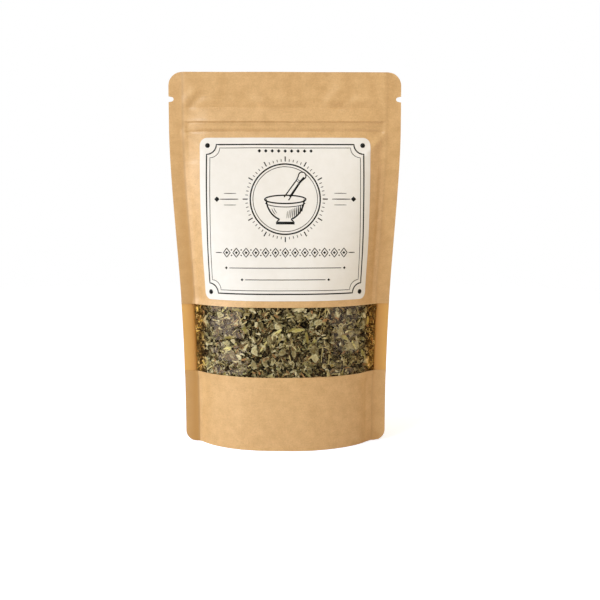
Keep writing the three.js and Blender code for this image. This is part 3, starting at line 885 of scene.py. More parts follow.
def floor_rise(share, deep):
    out = np.clip((np.abs(share) - PAD_ACROSS) / (1 - PAD_ACROSS), 0, 1)
    middle = FOLD_HEIGHT * out**1.7
    up = np.clip((np.abs(deep) - PAD_DEEP) / (1 - PAD_DEEP), 0, 1)
    return middle + np.maximum(0, floor_lip(share) - middle) * up**2


def room_behind(along, up):
    """Distance from the plane of the seals to the inner face of a panel."""
    return SEAL_HALF - PAPER + read_net(NET_OUT, along, up)


def inside_reach(x, up):
    """The same at an X in place of a paper coordinate."""
    along = np.array([np.interp(abs(a), NET_X[int(b)], NET_ALONG) for a, b in zip(x.ravel(), up.ravel())])
    return room_behind(along.reshape(x.shape), up)


def floor_places(share, deep, lift):
    x = share * NET_X[0][int(HALF_BODY / NET_STEP)]
    reach = inside_reach(x, floor_lip(share)) - FLOOR_GAP
    crease = FLOOR_CREASE * bump(deep, 0.03) * smooth(np.abs(share), 0.62, 0.85)
    return np.stack([x, deep * reach, floor_rise(share, deep) + lift - crease], axis=-1)


share_net, deep_net = np.meshgrid(np.linspace(-FLOOR_REACH, FLOOR_REACH, 121), np.linspace(-1, 1, 57))
gusset = add_sheet("kraft_floor", share_net, deep_net, FLOOR_PAPER, 0.0, floor_places)
dress(gusset, kraft_finish("kraft_floor_paper", 0.0), "bottom_gusset", slot="kraft_paper")

# %% [markdown]
# ## Press zip
#
# A zip is two plastic strips welded to the insides of the panels. One has a rib and the other has two, which
# hold it between them. From outside only its relief in the paper shows, but the strips are made all the same,
# because whoever opens or cuts the model will find them. Each is a sheet whose thickness changes with height.

# %% Zip strips
ZIP_HALF = HALF_BODY - 4.0
LOWER_RIB, CLOSURE = 181.5, 182.35  # the back strip's rib closes between the front strip's two
FLANGE, RIB_WIDE = 0.15, 0.28
STRIP_LIFT = -PAPER - 0.02


def add_zip_strip(name, ribs, place, flip):
    ups = merged([np.linspace(ZIP_LOW, ZIP_HIGH, 27), np.arange(180.4, 184.3, 0.1)], 0.05)
    along, up = np.meshgrid(np.linspace(-ZIP_HALF, ZIP_HALF, 107), ups)
    thick = FLANGE + sum(tall * bump(up - height, RIB_WIDE) for height, tall in ribs)
    return add_sheet(name, along, up, STRIP_LIFT, STRIP_LIFT - thick, place, flip)


strip_front = add_zip_strip("zip_strip_front", [(LOWER_RIB, 0.42), (UPPER_RIB, 0.42)], front_paper, False)
strip_back = add_zip_strip("zip_strip_back", [(CLOSURE, 0.60)], back_paper, True)

zip_plastic, tree, shader = start_material("zip_plastic", Roughness=0.32, Specular_IOR_Level=0.5)
drawn = noise(tree, scaled(tree, paper_uv(tree), (6, 900, 1)), 1.0, 2.0)
plug(tree, shader.inputs["Base Color"], mix_colours(tree, drawn, (0.80, 0.79, 0.75), (0.90, 0.89, 0.86)))
emboss(tree, shader, drawn, 0.15, 0.0001)
dress(strip_front, zip_plastic, "zip_track_front", slot="zip_plastic")
dress(strip_back, zip_plastic, "zip_track_back", slot="zip_plastic")

# %% [markdown]
# ## Clear film
#
# The film runs the whole width of the front and laps behind both kraft pieces, where it is welded to them. It
# is stretched over the leaf, so it isn't quite flat: small pillows and tension lines break up what it
# mirrors. Those are made as real relief, between two and three tenths of a millimetre, fading out at the
# laps. The finish is a mirror that shows only as far as Fresnel's law lets it, and the rest is see-through.
# The finest crinkle, which is too small to see in outline, is a bump in the finish.

# %% Uneven surfaces from a coarse random net
FILM_LIFT, FILM_THICK = -0.31, 0.06
FILM_LAP, FILM_INSET = 5.0, 0.15
PILLOWS = ((0.28, 8.0, 5), (0.20, 3.4, 6))  # height, size and seed
PILLOWS_SUNK = 0.20


def cloudy(along, up, size, seed):
    """Smooth random heights from -1 to 1, about one hill or hollow for each size in millimetres."""
    draw = np.random.default_rng(seed)
    columns, rows = int(150 / size) + 4, int(230 / size) + 4
    heights = draw.uniform(-1, 1, (rows, columns))
    x, z = (along + 72) / size + 1, (up + 8) / size + 1
    c, r = np.floor(x).astype(int), np.floor(z).astype(int)
    dx, dz = x - c, z - r
    dx, dz = dx * dx * (3 - 2 * dx), dz * dz * (3 - 2 * dz)
    lower = heights[r, c] * (1 - dx) + heights[r, c + 1] * dx
    upper = heights[r + 1, c] * (1 - dx) + heights[r + 1, c + 1] * dx
    return lower * (1 - dz) + upper * dz


def film_ripple(along, up):
    inside = smooth(up, WINDOW_LOW, WINDOW_LOW + 5) * (1 - smooth(up, WINDOW_HIGH - 5, WINDOW_HIGH))
    inside = inside * smooth(HALF_BODY - np.abs(along), 0, 5)
    pillows = sum(tall * cloudy(along, up, size, seed) for tall, size, seed in PILLOWS)
    return inside * (pillows - PILLOWS_SUNK)


def film_place(along, up, lift):
    return front_paper(along, up, lift + FILM_LIFT + film_ripple(along, up))


print("film ripple 6 mm apart, mm:", [round(float(film_ripple(v, 60.0)), 2) for v in (-6.0, 0.0, 6.0)])

# %% Film
film_along, film_up = np.meshgrid(np.linspace(-HALF_WIDTH + FILM_INSET, HALF_WIDTH - FILM_INSET, 163),
                                  np.linspace(WINDOW_LOW - FILM_LAP, WINDOW_HIGH + FILM_LAP, 62))
film = add_sheet("clear_film", film_along, film_up, 0.0, -FILM_THICK, film_place)

# %% Film finish
FILM_SHINE = 1.8  # times the mirror of plain film, for its two faces
OPEN_EDGE = (0.485, 0.535)  # decimetres from the middle, where the weld takes the shine away

clear_film, tree, shader = start_material("clear_film", Base_Color=(0.98, 0.86, 0.74), Metallic=1.0,
                                          Roughness=0.09)
uv = paper_uv(tree)
plug(tree, shader.inputs["Roughness"], map_range(tree, noise(tree, uv, 120.0, 3.0), 0.0, 1.0, 0.05, 0.13))
emboss(tree, shader, noise(tree, uv, 36.0, 1.0, Distortion=0.8), 1.0, 0.00016)
mirror = add_node(tree, "Fresnel", {"IOR": 1.5}).outputs[0]
outer = math_node(tree, "SUBTRACT", 1.0, add_node(tree, "NewGeometry").outputs["Backfacing"])
across = math_node(tree, "ABSOLUTE", add_node(tree, "SeparateXYZ", {0: uv}).outputs[0])
open_film = map_range(tree, across, *OPEN_EDGE, FILM_SHINE, 0.0)
mirror = times(tree, times(tree, mirror, open_film), outer)
show(tree, mix_shaders(tree, mirror, add_node(tree, "BsdfTransparent"), shader))
dress(film, clear_film, "window_film", slot="window_film")

# %% [markdown]
# ## Dried leaf
#
# Cut herb is a mix: torn flakes of leaf that have curled as they dried, crumbs, and bits of stalk. A texture
# can't do it, because what the eye reads is depth, with one flake over another and dark gaps between. So
# behind the film every flake is a closed mesh of its own. Behind those lies a lumpy body, painted near black
# as shade, which stands for all the leaf that nobody sees.
#
# The place of a flake is given in paper coordinates and a depth behind the film. The whole layer then
# follows the bulge, and nothing can stick out through the film, because no depth is ever less than a small
# clearance.

# %% Body of leaf
LAYER = 3.3  # depth of the loose flakes
BED_EDGE = 0.5  # between the body of leaf and the seal
BED_NEAR = 1.1  # depth of the body behind the paper, outside the window


def bed_depth(along, up, seed):
    in_window = smooth(up, WINDOW_LOW - 12, WINDOW_LOW - 5)
    in_window = in_window * (1 - smooth(up, WINDOW_HIGH + 5, WINDOW_HIGH + 12))
    lumps = 0.45 * cloudy(along, up, 3.0, seed) + 0.25 * cloudy(along, up, 1.6, seed + 1)
    depth = BED_NEAR + in_window * (LAYER - 0.6) + lumps
    return np.minimum(depth, 0.72 * room_behind(along, up))


def bed_place(along, up, lift):
    """The front of the leaf for a lift of 0, and its back otherwise."""
    if lift == 0:
        return front_paper(along, up, -PAPER - bed_depth(along, up, 41))
    return back_paper(along, up, -PAPER - 0.4 - 0.3 * bed_depth(along, up, 51))


bed_across = np.linspace(-1, 1, 111)
bed_foot = floor_lip(FLOOR_REACH * bed_across) + 2.0
bed_top = FILL_HIGH - 5.0 + 4.0 * cloudy(56.0 * bed_across, 150.0, 9.0, 61) - 3.0 * bed_across**2
bed_share = np.linspace(0, 1, 150)[:, None]
bed_up = bed_foot + (bed_top - bed_foot) * bed_share
bed_along = bed_across * (body_half(bed_up) - BED_EDGE)
leaf_bed = add_sheet("leaf_bed", bed_along, bed_up, 0, 1, bed_place, sharp=None)

# %% [markdown]
# ### One flake
#
# A flake is a ring net: a middle point and up to four rings, on two skins a tenth of a millimetre apart. The
# ragged outline comes from a few random waves round the ring. Drying curls it about one line and buckles it
# across. All flakes of one kind are worked out together as arrays, which keeps thousands of them quick.


# %% Faces of a flake
def ring_faces(around, rings):
    """Faces of one flake: two skins with a middle point each, closed at the outermost ring."""
    skin = 1 + around * rings
    ahead = [(j + 1) % around for j in range(around)]
    faces = []
    for j in range(around):
        k = ahead[j]
        faces += [(0, 1 + j, 1 + k), (skin, skin + 1 + k, skin + 1 + j)]
        for ring in range(rings - 1):
            a, b = 1 + ring * around + j, 1 + ring * around + k
            c, d = b + around, a + around
            faces += [(a, d, c, b), (skin + a, skin + b, skin + c, skin + d)]
        a, b = 1 + (rings - 1) * around + j, 1 + (rings - 1) * around + k
        faces.append((a, skin + a, skin + b, b))
    return faces


print("a flake with 7 points round it and 2 rings has", len(ring_faces(7, 2)), "faces")


# %% Flakes as arrays
def turned(points, tilt, heading, spin):
    """Turn flakes: spin in their own plane, then tip them over by tilt towards heading."""
    x, y, z = points
    c, s = np.cos(spin), np.sin(spin)
    x, y = c * x - s * y, s * x + c * y
    c, s = np.cos(heading), np.sin(heading)
    x, y = c * x + s * y, -s * x + c * y
    ct, st = np.cos(tilt), np.sin(tilt)
    x, z = ct * x + st * z, -st * x + ct * z
    return c * x - s * y, s * x + c * y, z


def flake_shapes(draw, count, sizes, around, rings, stretch, thick):
    """Flat-lying flakes about the origin: x, y and z of every place, one row for each flake."""
    angle = 2 * math.pi * (np.arange(around) + draw.uniform(-0.33, 0.33, (count, around))) / around
    outline = np.ones((count, around))
    for wave, tall in ((2, 0.16), (3, 0.16), (5, 0.14)):
        share = draw.uniform(0, tall, (count, 1))
        outline += share * np.cos(wave * angle + draw.uniform(0, 6.28, (count, 1)))
    outline += draw.uniform(-0.20, 0.16, (count, around))
    size = draw.uniform(*sizes, (count, 1)) / 2
    longer = draw.uniform(*stretch, (count, 1))
    shares = np.linspace(0, 1, rings + 1)[1:]
    x = np.hstack([np.zeros((count, 1))] + [s * size * longer * outline * np.cos(angle) for s in shares])
    y = np.hstack([np.zeros((count, 1))] + [s * size / longer * outline * np.sin(angle) for s in shares])
    axis = draw.uniform(0, math.pi, (count, 1))
    over = (x * np.cos(axis) + y * np.sin(axis)) / size
    along = (y * np.cos(axis) - x * np.sin(axis)) / size
    curl = draw.uniform(-0.75, 0.75, (count, 1))
    crease = draw.uniform(-0.45, 0.45, (count, 1))
    buckle = draw.uniform(-0.22, 0.22, (count, 1))
    z = size * (curl * over**2 + crease * np.abs(over) + buckle * np.sin(3.1 * along + 2 * over))
    edge = np.concatenate([[0.0]] + [np.full(around, s) for s in shares])
    half = thick / 2
    return np.hstack([x, x]), np.hstack([y, y]), np.hstack([z + half, z - half]), np.concatenate([edge, edge])


# %% Many bits in one piece
def add_bits(name, shapes, places, turns, tones, faces):
    """One piece from many small shapes. places holds along, up and depth behind the film for each."""
    x, y, z, edge = shapes
    x, y, z = turned((x, y, z), *(turn[:, None] for turn in turns))
    along, up, depth = (place[:, None] for place in places)
    along, up, depth = along + x, up + y, depth - z
    side_limit = body_half(up) - 0.2
    along = np.clip(along, -side_limit, side_limit)
    deepest = 1.7 * room_behind(along, up)
    depth = np.clip(depth, FLAKE_CLEAR + 0.02 * z, deepest)
    spots = film_place(along, up, -FILM_THICK - depth)
    count, each = x.shape
    first = np.arange(count)[:, None]
    tris = np.array([face for face in faces if len(face) == 3])
    quads = np.array([face for face in faces if len(face) == 4])
    lists = [(kind[None] + first[..., None] * each).reshape(-1, kind.shape[1]).tolist()
             for kind in (tris, quads) if len(kind)]
    piece = add_mesh(name, spots.reshape(-1, 3), sum(lists, []))
    for label, values in (("tone", np.repeat(tones, each)), ("edge", np.tile(edge, count))):
        layer = piece.data.attributes.new(label, "FLOAT", "POINT")
        layer.data.foreach_set("value", values.astype(np.float32))
    return piece


# %% [markdown]
# ### Strewing the flakes
#
# Flakes pressed against the film lie nearly flat to it. Deeper ones stand at any angle. Each kind of bit is
# one piece with its own colour: pale undersides, mid green, the olive and brown of leaf that caught the heat,
# a few large grey-green flakes in front, thin slivers, narrow shreds, and the crumbs that fill what is left.
# The places run a little past the window, so that no edge shows.

# %% Strewing
FLAKE_CLEAR = 0.08
STREW_LOW, STREW_HIGH = WINDOW_LOW - 3.0, WINDOW_HIGH + 3.0


def strewn(draw, count, nearest, deepest):
    along = draw.uniform(-1, 1, count)
    up = draw.uniform(STREW_LOW, STREW_HIGH, count)
    along = along * (body_half(up) - BED_EDGE)
    sunk = 0.5 * smooth(np.abs(along), 49.5, 54.5)  # the filling falls away beside the seals
    depth = nearest + (deepest - nearest) * draw.uniform(0, 1, count) + sunk
    return along, up, np.minimum(depth, 0.6 * room_behind(along, up))


def tipped(draw, depth):
    loose = smooth(depth, 0.0, 0.9)
    tilt = draw.uniform(0, 0.45, len(depth)) + loose * draw.uniform(0, 1.15, len(depth))
    return tilt, draw.uniform(0, 6.28, len(depth)), draw.uniform(0, 6.28, len(depth))


def strew(name, seed, count, sizes, depths, around=8, rings=1, stretch=(1.0, 1.35), thick=0.12):
    draw = np.random.default_rng(seed)
    shapes = flake_shapes(draw, count, sizes, around, rings, stretch, thick)
    places = strewn(draw, count, *depths)
    # deeper flakes get a darker tone: painted shade for their depth
    tones = draw.uniform(0, 1, count) ** 1.4 - 0.8 * smooth(places[2], 0.3, 2.2)
    return add_bits(name, shapes, places, tipped(draw, places[2]), tones, ring_faces(around, rings))


# %% Strewn flakes
leaf_pieces = [
    strew("leaf_flakes_pale", 101, 620, (1.2, 3.1), (0.1, 1.6), around=7, rings=2, stretch=(1.0, 1.8)),
    strew("leaf_flakes_green", 102, 1300, (1.1, 3.0), (0.1, 3.4), around=7, rings=2, stretch=(1.1, 2.1)),
    strew("leaf_flakes_brown", 103, 1200, (1.0, 2.8), (0.2, 3.4), around=7, rings=2, stretch=(1.2, 2.4)),
    strew("leaf_large_flakes", 104, 60, (3.2, 5.2), (0.1, 0.6), around=13, rings=4, stretch=(1.0, 1.4)),
    strew("leaf_slivers", 108, 30, (3.0, 4.4), (0.05, 0.5), around=11, rings=3, stretch=(1.8, 2.3)),
    strew("leaf_shreds", 107, 1350, (1.0, 2.3), (0.05, 2.2), around=6, rings=2, stretch=(1.4, 2.2)),
    strew("leaf_crumbs", 105, 3000, (0.4, 1.1), (0.05, 3.0), around=5, stretch=(1.1, 2.2)),
]

# %% [markdown]
# ### Stalks
#
# A few chips of dry stalk lie among the leaf. They are the lightest and straightest things in it, so they
# catch the eye even though they are few. Each is a thin six-sided rod, a little bent, split to a flat at the
# ends.


# %% Stalks
def stalk_shapes(draw, count, lengths, widths, stations=6, sides=6):
    share = np.linspace(-1, 1, stations)
    length = draw.uniform(*lengths, (count, 1, 1)) / 2
    radius = draw.uniform(*widths, (count, 1, 1)) / 2
    taper = 1 - draw.uniform(0, 0.45, (count, 1, 1)) * (share[None, :, None] + 1) / 2
    angle = (2 * math.pi * np.arange(sides) / sides)[None, None, :]
    bend = draw.uniform(-0.10, 0.10, (count, 1, 1))
    x = np.broadcast_to(length * share[None, :, None], (count, stations, sides))
    y = radius * taper * np.cos(angle) + bend * length * share[None, :, None] ** 2
    z = 0.6 * radius * taper * np.sin(angle) + np.zeros_like(x)
    flat = [part.reshape(count, -1) for part in (x, y, z)]
    return *flat, np.repeat(np.abs(share), sides)


def rod_faces(stations, sides):
    faces = [tuple(range(sides - 1, -1, -1)), tuple((stations - 1) * sides + j for j in range(sides))]
    quads = []
    for station in range(stations - 1):
        for j in range(sides):
            a, b = station * sides + j, station * sides + (j + 1) % sides
            quads.append((a, b, b + sides, a + sides))
    for cap in faces:
        quads += [(cap[0], cap[i], cap[i + 1], cap[i + 2]) for i in range(1, sides - 2, 2)]
    return quads


print("a stalk has", len(rod_faces(6, 6)), "faces")

# %% Strewn stalks
STALKS = 170
draw = np.random.default_rng(106)
stalk_places = strewn(draw, STALKS, 0.3, 2.0)
stalk_turns = tipped(draw, stalk_places[2])
stalk_form = stalk_shapes(draw, STALKS, (2.5, 8.0), (0.45, 0.95))
leaf_pieces.append(add_bits("leaf_stalks", stalk_form, stalk_places,
                            (0.5 * stalk_turns[0], *stalk_turns[1:]), draw.uniform(0, 1, STALKS),
                            rod_faces(6, 6)))
print(sum(len(piece.data.polygons) for piece in leaf_pieces), "faces of loose leaf")

# %% [markdown]
# ### Finish of the leaf
#
# Dry leaf is matt, and under a lens it is covered by a net of raised veins. That net is a node group, because
# every leaf piece has it. The colour of each flake comes from its own number, `tone`, drawn when it was
# strewn and lowered for deeper flakes as painted shade, with a blotch laid over it. The rim, where the leaf
# has torn and dried most, is lighter, partly from its own colour and partly as a painted highlight, but only
# on the flakes in front, so that the gaps stay dark. Towards the two side seals the leaf is tinted amber and
# the dark body turns brown: painted warm light, for the light that the kraft seals bounce in there.

# %% Vein group
vein_group, given = new_group("leaf_net", {"Vector": "Vector", "Mesh size": "Float"})
tree, spot = vein_group, given["Vector"]
cells = add_node(tree, "TexVoronoi", {"Vector": spot, "Scale": given["Mesh size"]},
                 feature="DISTANCE_TO_EDGE")
vein = map_range(tree, cells.outputs["Distance"], 0.02, 0.22, 1.0, 0.0)
blotch = noise(tree, spot, 520.0, 4.0)
height = math_node(tree, "MULTIPLY_ADD", vein, 0.6, blotch)
close_group(vein_group, Vein=vein, Blotch=blotch, Height=height)

# %% Leaf finish
# painted warm light: from here out to the seals the leaf is tinted amber, for light bounced off the kraft
KRAFT_BOUNCE_ZONE = (44.4 * MM, 48.0 * MM)  # from the middle, where the stain beside the seals sets in
KRAFT_BOUNCE_TINT = (1.30, 0.90, 0.48)
VEINED, RIM_WEAR_AND_HIGHLIGHT = 0.30, 0.70  # how far the veins and the rim take the rim's colour


def leaf_finish(name, stops, rim, rough=0.78, mesh_size=900.0, kraft_bounce_colour=None):
    """stops are (tone, colour) pairs from the darkest flakes, at 0, to the lightest, at 1."""
    material, tree, shader = start_material(name, Roughness=rough, Specular_IOR_Level=0.1)
    place = add_node(tree, "TexCoord").outputs["Object"]
    net = place_group(tree, vein_group, {"Vector": place, "Mesh size": mesh_size})
    tone = add_node(tree, "Attribute", attribute_name="tone").outputs["Fac"]
    edge = add_node(tree, "Attribute", attribute_name="edge").outputs["Fac"]
    shift = math_node(tree, "MULTIPLY_ADD", net["Blotch"], 0.7, math_node(tree, "SUBTRACT", tone, 0.35))
    ramp = add_node(tree, "ValToRGB", {"Fac": shift})
    elements = ramp.color_ramp.elements
    elements[0].color, elements[1].color = (*stops[0][1], 1), (*stops[-1][1], 1)
    for position, colour in stops[1:-1]:
        elements.new(position).color = (*colour, 1)
    bright = map_range(tree, shift, -0.05, 0.50, 0.14, 1.0)
    veined = times(tree, times(tree, net["Vein"], VEINED), bright)
    colour = mix_colours(tree, veined, ramp.outputs[0], rim)
    # the rim is lighter: partly torn and dried leaf, partly a painted highlight, kept off the darker, deeper
    # flakes
    worn = times(tree, math_node(tree, "POWER", edge, 4.0), RIM_WEAR_AND_HIGHLIGHT)
    colour = mix_colours(tree, times(tree, worn, bright), colour, rim)
    across = math_node(tree, "ABSOLUTE", add_node(tree, "SeparateXYZ", {0: place}).outputs[0])
    # painted warm light beside the seals: the leaf is tinted amber, and the dark body gets a brown of its own
    kraft_bounce_tinted = kraft_bounce_colour or mix_colours(tree, 1.0, colour, KRAFT_BOUNCE_TINT, "MULTIPLY")
    colour = mix_colours(tree, map_range(tree, across, *KRAFT_BOUNCE_ZONE), colour, kraft_bounce_tinted)
    plug(tree, shader.inputs["Base Color"], colour)
    emboss(tree, shader, net["Height"], 0.5, 0.0002)
    return material


print("the veins take", VEINED, "and the rim", RIM_WEAR_AND_HIGHLIGHT, "of the rim's colour")

# %% Leaf colours
PALE = [(0.0, (0.13, 0.088, 0.026)), (0.5, (0.42, 0.340, 0.168)), (1.0, (0.77, 0.665, 0.42))]
GREEN = [(0.0, (0.026, 0.015, 0.002)), (0.5, (0.152, 0.122, 0.033)), (1.0, (0.43, 0.370, 0.145))]
BROWN = [(0.0, (0.026, 0.012, 0.002)), (0.4, (0.12, 0.060, 0.020)), (0.8, (0.36, 0.180, 0.066)),
         (1.0, (0.54, 0.23, 0.09))]
MIXED = [(0.0, (0.028, 0.015, 0.003)), (0.35, (0.12, 0.072, 0.016)), (0.7, (0.40, 0.290, 0.100)),
         (1.0, (0.70, 0.56, 0.24))]
SHRED = [(0.0, (0.030, 0.017, 0.003)), (0.5, (0.31, 0.210, 0.060)), (1.0, (0.74, 0.60, 0.31))]
SLIVER = [(0.0, (0.26, 0.20, 0.05)), (0.5, (0.47, 0.39, 0.11)), (1.0, (0.74, 0.64, 0.25))]
STALK = [(0.0, (0.24, 0.15, 0.06)), (0.5, (0.46, 0.35, 0.13)), (1.0, (0.72, 0.58, 0.27))]
# painted shade: the near-black colours of the body of leaf behind the flakes
LEAF_SHADE = [(0.0, (0.006, 0.003, 0.001)), (0.5, (0.014, 0.008, 0.003)), (1.0, (0.032, 0.020, 0.008))]
leaf_looks = {
    "leaf_flakes_pale": leaf_finish("leaf_pale", PALE, (0.74, 0.66, 0.46)),
    "leaf_flakes_green": leaf_finish("leaf_green", GREEN, (0.52, 0.465, 0.26)),
    "leaf_flakes_brown": leaf_finish("leaf_brown", BROWN, (0.50, 0.34, 0.17)),
    "leaf_large_flakes": leaf_finish("leaf_sage", PALE, (0.64, 0.585, 0.37), mesh_size=700.0),
    "leaf_slivers": leaf_finish("leaf_sliver", SLIVER, (0.70, 0.62, 0.34), mesh_size=700.0),
    "leaf_shreds": leaf_finish("leaf_shred", SHRED, (0.62, 0.54, 0.30)),
    "leaf_crumbs": leaf_finish("leaf_crumb", MIXED, (0.50, 0.43, 0.22)),
    "leaf_stalks": leaf_finish("leaf_stalk", STALK, (0.76, 0.64, 0.36), rough=0.6, mesh_size=1500.0),
}
for piece in leaf_pieces:
    dress(piece, leaf_looks[piece.name], "leaf_fill", slot="dried_leaf")
# the brown near the seals is painted warm light on the dark body
leaf_shadow = leaf_finish("leaf_shadow", LEAF_SHADE, (0.04, 0.028, 0.012), kraft_bounce_colour=(0.13, 0.060, 0.010))
dress(leaf_bed, leaf_shadow, "leaf_fill", slot="dried_leaf")

# %% [markdown]
# ## Label
#
# The label is uncoated cream paper, stuck on before the pouch is filled, so it bends with the kraft and
# shows the same dents. It is one more sheet on the front's relief, lifted by its own thickness. The corners
# are rounded by moving the net's ends in row by row, as the die does.

# %% Label sheet
LABEL_HALF = high_mm("label")[0]
LABEL_CORNER = 4.0
LABEL_LIFT, LABEL_THICK = 0.17, 0.14


def label_paper_place(along, up, lift):
    return front_paper(along, up, lift + LABEL_LIFT)


turn = 1 - np.cos(np.linspace(0, math.pi / 2, 9))
label_rows = merged([np.linspace(LABEL_LOW, LABEL_HIGH, 112),
                     LABEL_LOW + LABEL_CORNER * turn, LABEL_HIGH - LABEL_CORNER * turn], 0.04)
label_rows[-1] = LABEL_HIGH
label_cut = corner_cut(LABEL_CORNER, label_rows - LABEL_LOW)
label_cut = label_cut + corner_cut(LABEL_CORNER, LABEL_HIGH - label_rows)
label_along = (LABEL_HALF - label_cut)[:, None] * np.linspace(-1, 1, 121)
label_up = np.broadcast_to(label_rows[:, None], label_along.shape)
label = add_sheet("paper_label", label_along, label_up, 0.0, -LABEL_THICK, label_paper_place)

# %% Label paper
label_paper, tree, shader = start_material("label_paper", Roughness=0.66, Specular_IOR_Level=0.35)
fibre = place_group(tree, fibre_group, {"Vector": paper_uv(tree), "Stray flecks": 0.35})
cream = mix_colours(tree, fibre["Cloud"], (0.73, 0.682, 0.665), (0.825, 0.78, 0.785))
cream = mix_colours(tree, times(tree, fibre["Fleck"], 0.16), cream, (0.62, 0.55, 0.44))
plug(tree, shader.inputs["Base Color"], cream)
emboss(tree, shader, fibre["Height"], 0.12, 0.0001)
dress(label, label_paper, "label", slot="label_paper")

# %% [markdown]
# ## Printing
#
# The print is a plain apothecary design: a double frame, a mortar and pestle in a ring, a band of lozenges
# and two ruled lines to write on. Black ink has next to no thickness, but here each stroke is a closed strip
# three hundredths of a millimetre proud of the label. It needs no picture file then, stays sharp at any
# distance and goes with the mesh when the model is exported.
#
# A stroke is a list of points in label coordinates: millimetres from the middle line, and above the
# label's lower edge. It is cut into steps short enough to follow the bulge.

# %% Ink strokes
INK_TOP, INK_FOOT = 0.028, -0.02
INK_STEP = 1.2
INK_STAGGER = 0.0015  # strokes that cross lie at slightly different heights
ink_places, ink_faces = [], []


def resampled(points, closed):
    points = np.asarray(points, float)
    if closed:
        points = np.vstack([points, points[:1]])
    kept = [points[0]]
    for start, end in zip(points[:-1], points[1:]):
        count = max(1, math.ceil(np.hypot(*(end - start)) / INK_STEP))
        kept += [start + (end - start) * i / count for i in range(1, count + 1)]
    return np.array(kept[:-1] if closed else kept)


def ink_solid(outline_left, outline_right, closed):
    """A closed strip between two rows of points."""
    count = len(outline_left)
    lift = INK_TOP + INK_STAGGER * (len(ink_faces) % 5)
    edges = ((outline_left, lift), (outline_right, lift), (outline_left, INK_FOOT), (outline_right, INK_FOOT))
    rows = [label_paper_place(side[:, 0], side[:, 1] + LABEL_LOW, height) for side, height in edges]
    first = sum(len(part) for part in ink_places)
    ink_places.append(np.concatenate(rows))
    a, b, c, d = (first + count * row for row in range(4))
    faces = []
    for i in range(count if closed else count - 1):
        j = (i + 1) % count
        faces += [(a + i, b + i, b + j, a + j), (c + i, c + j, d + j, d + i),
                  (a + i, a + j, c + j, c + i), (b + i, d + i, d + j, b + j)]
    if not closed:
        last = count - 1
        faces += [(a, c, d, b), (a + last, b + last, d + last, c + last)]
    ink_faces.append(faces)


print("a 10 mm stroke is cut into", len(resampled([(0, 0), (10, 0)], False)) - 1, "steps")


# %% Lines, arcs, patches and dots
def ink_line(points, width, closed=False, taper=0.0):
    """A stroke of a width in millimetres. taper thins its ends."""
    run = resampled(points, closed)
    if closed:
        ahead = np.roll(run, -1, axis=0) - np.roll(run, 1, axis=0)
    else:
        ahead = np.gradient(run, axis=0)
    ahead /= np.maximum(np.hypot(ahead[:, 0], ahead[:, 1]), 1e-9)[:, None]
    across = np.stack([-ahead[:, 1], ahead[:, 0]], axis=-1)
    share = np.linspace(-1, 1, len(run))[:, None]
    half = width / 2 * (1 - taper * share**2)
    ink_solid(run + across * half, run - across * half, closed)


def arc(centre, radius, start, end, squash=1.0, count=None):
    """Points on an arc, with its angles in degrees from +X."""
    count = count or max(4, int(abs(end - start) * radius / 40))
    angle = np.radians(np.linspace(start, end, count))
    x, z = centre[0] + radius * np.cos(angle), centre[1] + squash * radius * np.sin(angle)
    return np.stack([x, z], axis=-1)


def ink_ring(centre, radius, width):
    ink_line(arc(centre, radius, 0, 360)[:-1], width, closed=True)


def ink_patch(left, right):
    """A filled shape between two rows of points that run the same way."""
    ink_solid(np.asarray(left, float), np.asarray(right, float), False)


def ink_dot(centre, radius, points=10):
    """A filled round or, with 4 points, a diamond."""
    count = points // 2 + 1
    angle = math.pi * np.arange(count) / (count - 1)
    x, z = radius * np.sin(angle), radius * np.cos(angle)
    x[[0, -1]] = 0.02 * radius
    ink_patch(np.stack([centre[0] - x, centre[1] + z], -1), np.stack([centre[0] + x, centre[1] + z], -1))


# %% Frame and rules
LABEL_TALL = LABEL_HIGH - LABEL_LOW


def ticket_frame(inset, notch, width):
    """A frame whose corners are bitten in by quarter rounds."""
    right, top = LABEL_HALF - inset, LABEL_TALL - inset
    corners = (((right, inset), 180), ((right, top), 270), ((-right, top), 360), ((-right, inset), 450))
    points = [point for centre, start in corners for point in arc(centre, notch, start, start - 90, count=9)]
    ink_line(points, width, closed=True)


ticket_frame(3.8, 5.4, 0.72)
ticket_frame(5.7, 5.4, 0.34)
for side in (-1, 1):
    for q in (4.3, LABEL_TALL - 4.3):
        ink_dot((side * (LABEL_HALF - 4.3), q), 1.35, 14)
print(len(ink_faces), "strokes in the frame")

# %% Ring and rays
MIDDLE = (0.0, 55.8)
ink_ring(MIDDLE, 19.4, 0.80)
ink_ring(MIDDLE, 17.9, 0.36)
RAYS = 60
for ray in range(RAYS):
    angle = 2 * math.pi * ray / RAYS
    reach = (20.8, 23.6 if ray % 5 == 0 else 22.2)
    ends = [(MIDDLE[0] + r * math.cos(angle), MIDDLE[1] + r * math.sin(angle)) for r in reach]
    ink_line(ends, 0.62 if ray % 5 == 0 else 0.38)
for side in (-1, 1):
    ink_line([(side * 26.0, MIDDLE[1]), (side * 36.2, MIDDLE[1])], 0.55, taper=0.4)
    ink_dot((side * 37.9, MIDDLE[1]), 1.5, 4)
    for rise in (-3.2, 3.2):
        ink_line([(side * 27.2, MIDDLE[1] + rise), (side * 34.0, MIDDLE[1] + rise)], 0.36, taper=0.4)

# %% Mortar
RIM_Q, RIM_HALF, BOWL_DEEP, FOOT_DROP = 55.6, 11.4, 11.0, 1.0


def bowl_half(q):
    """Half the width of the bowl at a height."""
    fall = np.clip((RIM_Q - q) / BOWL_DEEP, 0, 1)
    return RIM_HALF * 0.93 * np.sqrt(np.clip(1 - 0.88 * fall**2.4, 0, 1)) * (1 - 0.12 * fall)


